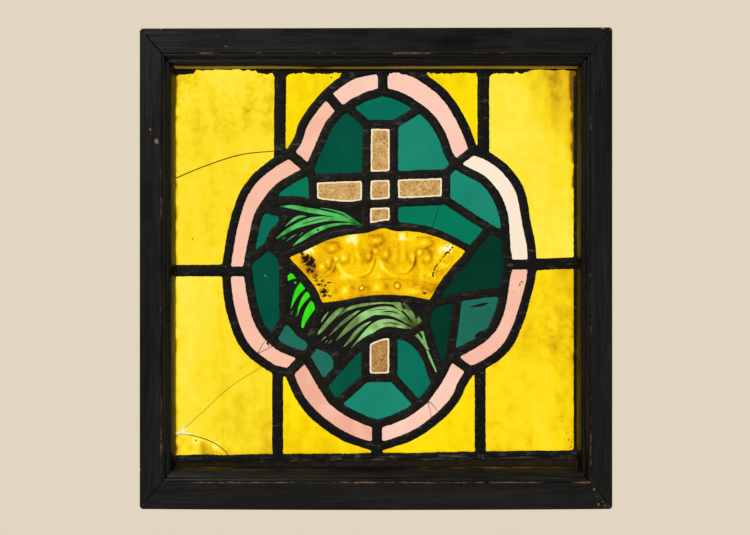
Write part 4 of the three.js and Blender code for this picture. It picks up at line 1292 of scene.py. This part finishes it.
def member(node, along_x, near_high):
    """One mitred length of the frame, with its wavering arrises, dents and worn places."""
    rail_face = RAIL_FACE if near_high else SILL_FACE
    face, mould = (rail_face, RAIL_MOULD) if along_x else (STILE_FACE, STILE_MOULD)
    axis, outer = (0, 2) if along_x else (2, 0)
    s, depth, wear = np.array(member_section(face, mould)).T
    insets = mitre_insets(s, along_x, near_high, face, mould)
    t = shares_along(along_x, near_high, face)
    start, end = FRAME_LOW[axis] + insets[0], FRAME_HIGH[axis] - insets[1]
    run = start + t[:, None] * (end - start)
    outside = 1 - np.clip(s / face, 0, 1)
    across = s + outside * (bow(run, near_high) if along_x else 0) + 0 * run
    on_front = (depth < LIP - 1) + 0 * run
    waver = 0.16 * noise(run, across, 55, 40 + near_high)
    waver += 0.07 * noise(run, across, 9, 42 + along_x)
    deep = depth + np.maximum(waver, -depth) * on_front * step(across, 0, 3)
    to_end = np.minimum(run - start, end - run)
    groove = np.clip(1 - to_end / GROOVE_WIDE, 0, 1)
    deep = deep + GROOVE * groove * on_front
    place = (FRAME_HIGH[outer] - across) if near_high else (FRAME_LOW[outer] + across)
    x, z = (run, place) if along_x else (place, run)
    worn = wear * (0.75 + 0.5 * noise(run, across, 26, 44 + near_high))
    for middle, half, weight in WORN[node]:
        worn = worn + weight * np.exp(-(((run - middle) / half) ** 4)) * (np.abs(s - face) < 1)
    ragged = 1 + 0.6 * noise(x, z, 1.3, 46)
    for cx, cz, radius, dent in CHIPS:
        inside = spot(x, z, (cx, cz), radius * ragged, 0.35) * (depth < FRONT_DEEP)
        deep = deep + dent * inside
        worn = worn + 0.95 * inside
    if node == "bottom_rail":
        worn = worn + 0.55 * bell(to_end - 1.1, 0.6) * on_front
    if node == "right_stile":
        worn = worn + 1.1 * within(stroke(*SCRATCH), x, z)
        worn = worn + 0.35 * spot(x, z, (241, 9), 8, 0.6) * on_front
    # painted glow: where golden light of the lit glass is painted on the moulding's edge, strongest
    # on the top rail's lip
    share = np.clip((s - face) / mould, 0, 1) * (depth < LIP + 0.1)
    sight = step(share, 0.8, 0.94) if along_x else step(share, 0.84, 1.0)
    strength = (2.6 if near_high else 0.6) if along_x else (0.65 if near_high else 0.8)
    sight = sight * strength * (0.8 + 0.5 * noise(run, 0 * run, 60, 49 + near_high))
    # painted shade: the mouldings darker, all but the bottom rail's, which faces up into the light
    painted_moulding_shade = 0.75 * step(share, 0.02, 0.15) * (1 - (along_x and not near_high))
    points = np.stack([x, FRAME_LOW[1] + deep, z], axis=2).reshape(-1, 3)
    n = len(s)
    faces = [
        (i * n + j, i * n + (j + 1) % n, (i + 1) * n + (j + 1) % n, (i + 1) * n + j)
        for i in range(len(t) - 1) for j in range(n)
    ]
    faces += [tuple(range(n))[::-1], tuple(range((len(t) - 1) * n, len(points)))]
    if along_x == bool(near_high):
        faces = [f[::-1] for f in faces]
    material = MATERIALS["rail" if along_x else "stile"]
    made = piece(node + "_moulded", points, faces, [material], sharp=0.9)
    set_values(made, "wear", worn.reshape(-1))
    set_values(made, "sight", sight.reshape(-1))
    set_values(made, "painted_moulding_shade", (painted_moulding_shade + 0 * run).reshape(-1))
    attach(made, "root")
    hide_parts(node)


member("top_rail", True, 1)
member("bottom_rail", True, 0)
member("right_stile", False, 1)
member("left_stile", False, 0)
for node, kind in (
    ("bead_top", "rail"), ("bead_bottom", "rail"), ("bead_left", "stile"), ("bead_right", "stile")
):
    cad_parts[node].data.materials.clear()
    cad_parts[node].data.materials.append(MATERIALS[kind])

# ---- Floor, light and camera ----

WHITE, BACKGROUND = (255, 255, 255), (226, 213, 194)
FLOOR_HALF, FLOOR_LEVEL = 900, -260  # half width, and height below the hung window
GLOW = 1.06  # brightness of the sky seen through the glass
DIM = 0.05  # what the dark side of the window sees of the room
EYE_X, EYE_AWAY, EYE_HIGH = -0.0011, 1.7, 0.2623  # metres; the camera stands this far in front
LENS = 75.5


def pale_floor():
    """A floor below the hung window, out of the main view."""
    corners = [
        (x * FLOOR_HALF, y * FLOOR_HALF, FLOOR_LEVEL)
        for x, y in ((-1, -1), (1, -1), (1, 1), (-1, 1))
    ]
    material = Shader("pale_floor", roughness=0.8).finished(BACKGROUND)
    floor = piece("floor", corners, [(0, 1, 2, 3)], [material], smooth=False)


def daylight():
    """A world that is bright only where it is seen through the glass."""
    world = bpy.data.worlds.new("daylight")
    world.use_nodes = True
    bpy.context.scene.world = world
    tree = world.node_tree
    tree.nodes.clear()

    def sky(colour, strength):
        return add_node(tree, "Background", {"Color": colour, "Strength": strength})

    def choose(ray, without, with_it):
        share = add_node(tree, "LightPath", {}, ray)
        return add_node(tree, "MixShader", {0: share, 1: without, 2: with_it})

    room = choose("Is Camera Ray", sky(WHITE, DIM), sky(BACKGROUND, 1.0))
    seen = choose("Is Transmission Ray", room, sky(WHITE, GLOW))
    output = tree.nodes.new("ShaderNodeOutputWorld")
    tree.links.new(seen, output.inputs["Surface"])


def soft_light(name, place, aim, size, watts, through_glass=True):
    data = bpy.data.lights.new(name, "AREA")
    data.shape, data.size, data.energy = "SQUARE", size, watts
    light = bpy.data.objects.new(name, data)
    light.location = place
    light.rotation_euler = (Vector(aim) - Vector(place)).to_track_quat("-Z", "Y").to_euler()
    light.visible_camera, light.visible_transmission = False, through_glass
    bpy.context.scene.collection.objects.link(light)


pale_floor()
daylight()
centre = (0, 0, (FRAME_LOW[2] + FRAME_HIGH[2]) / 2 * MM)
soft_light("key", (-1.1, -1.6, 1.7), centre, 0.6, 17)
soft_light("fill", (1.4, -1.5, 0.2), centre, 1.4, 3.4)
soft_light("bounce", (-0.3, -1.3, -0.7), centre, 0.9, 2.6)
soft_light("behind", (0.4, 1.6, 1.2), centre, 1.4, 14, through_glass=False)

camera = bpy.data.objects.new("camera", bpy.data.cameras.new("camera"))
camera.data.lens, camera.data.sensor_width = LENS, 36
camera.location = (EYE_X, FRAME_LOW[1] * MM - EYE_AWAY, EYE_HIGH)
camera.rotation_euler = (math.pi / 2, 0, 0)
bpy.context.scene.collection.objects.link(camera)
bpy.context.scene.camera = camera
bpy.context.scene.view_settings.view_transform = "Standard"
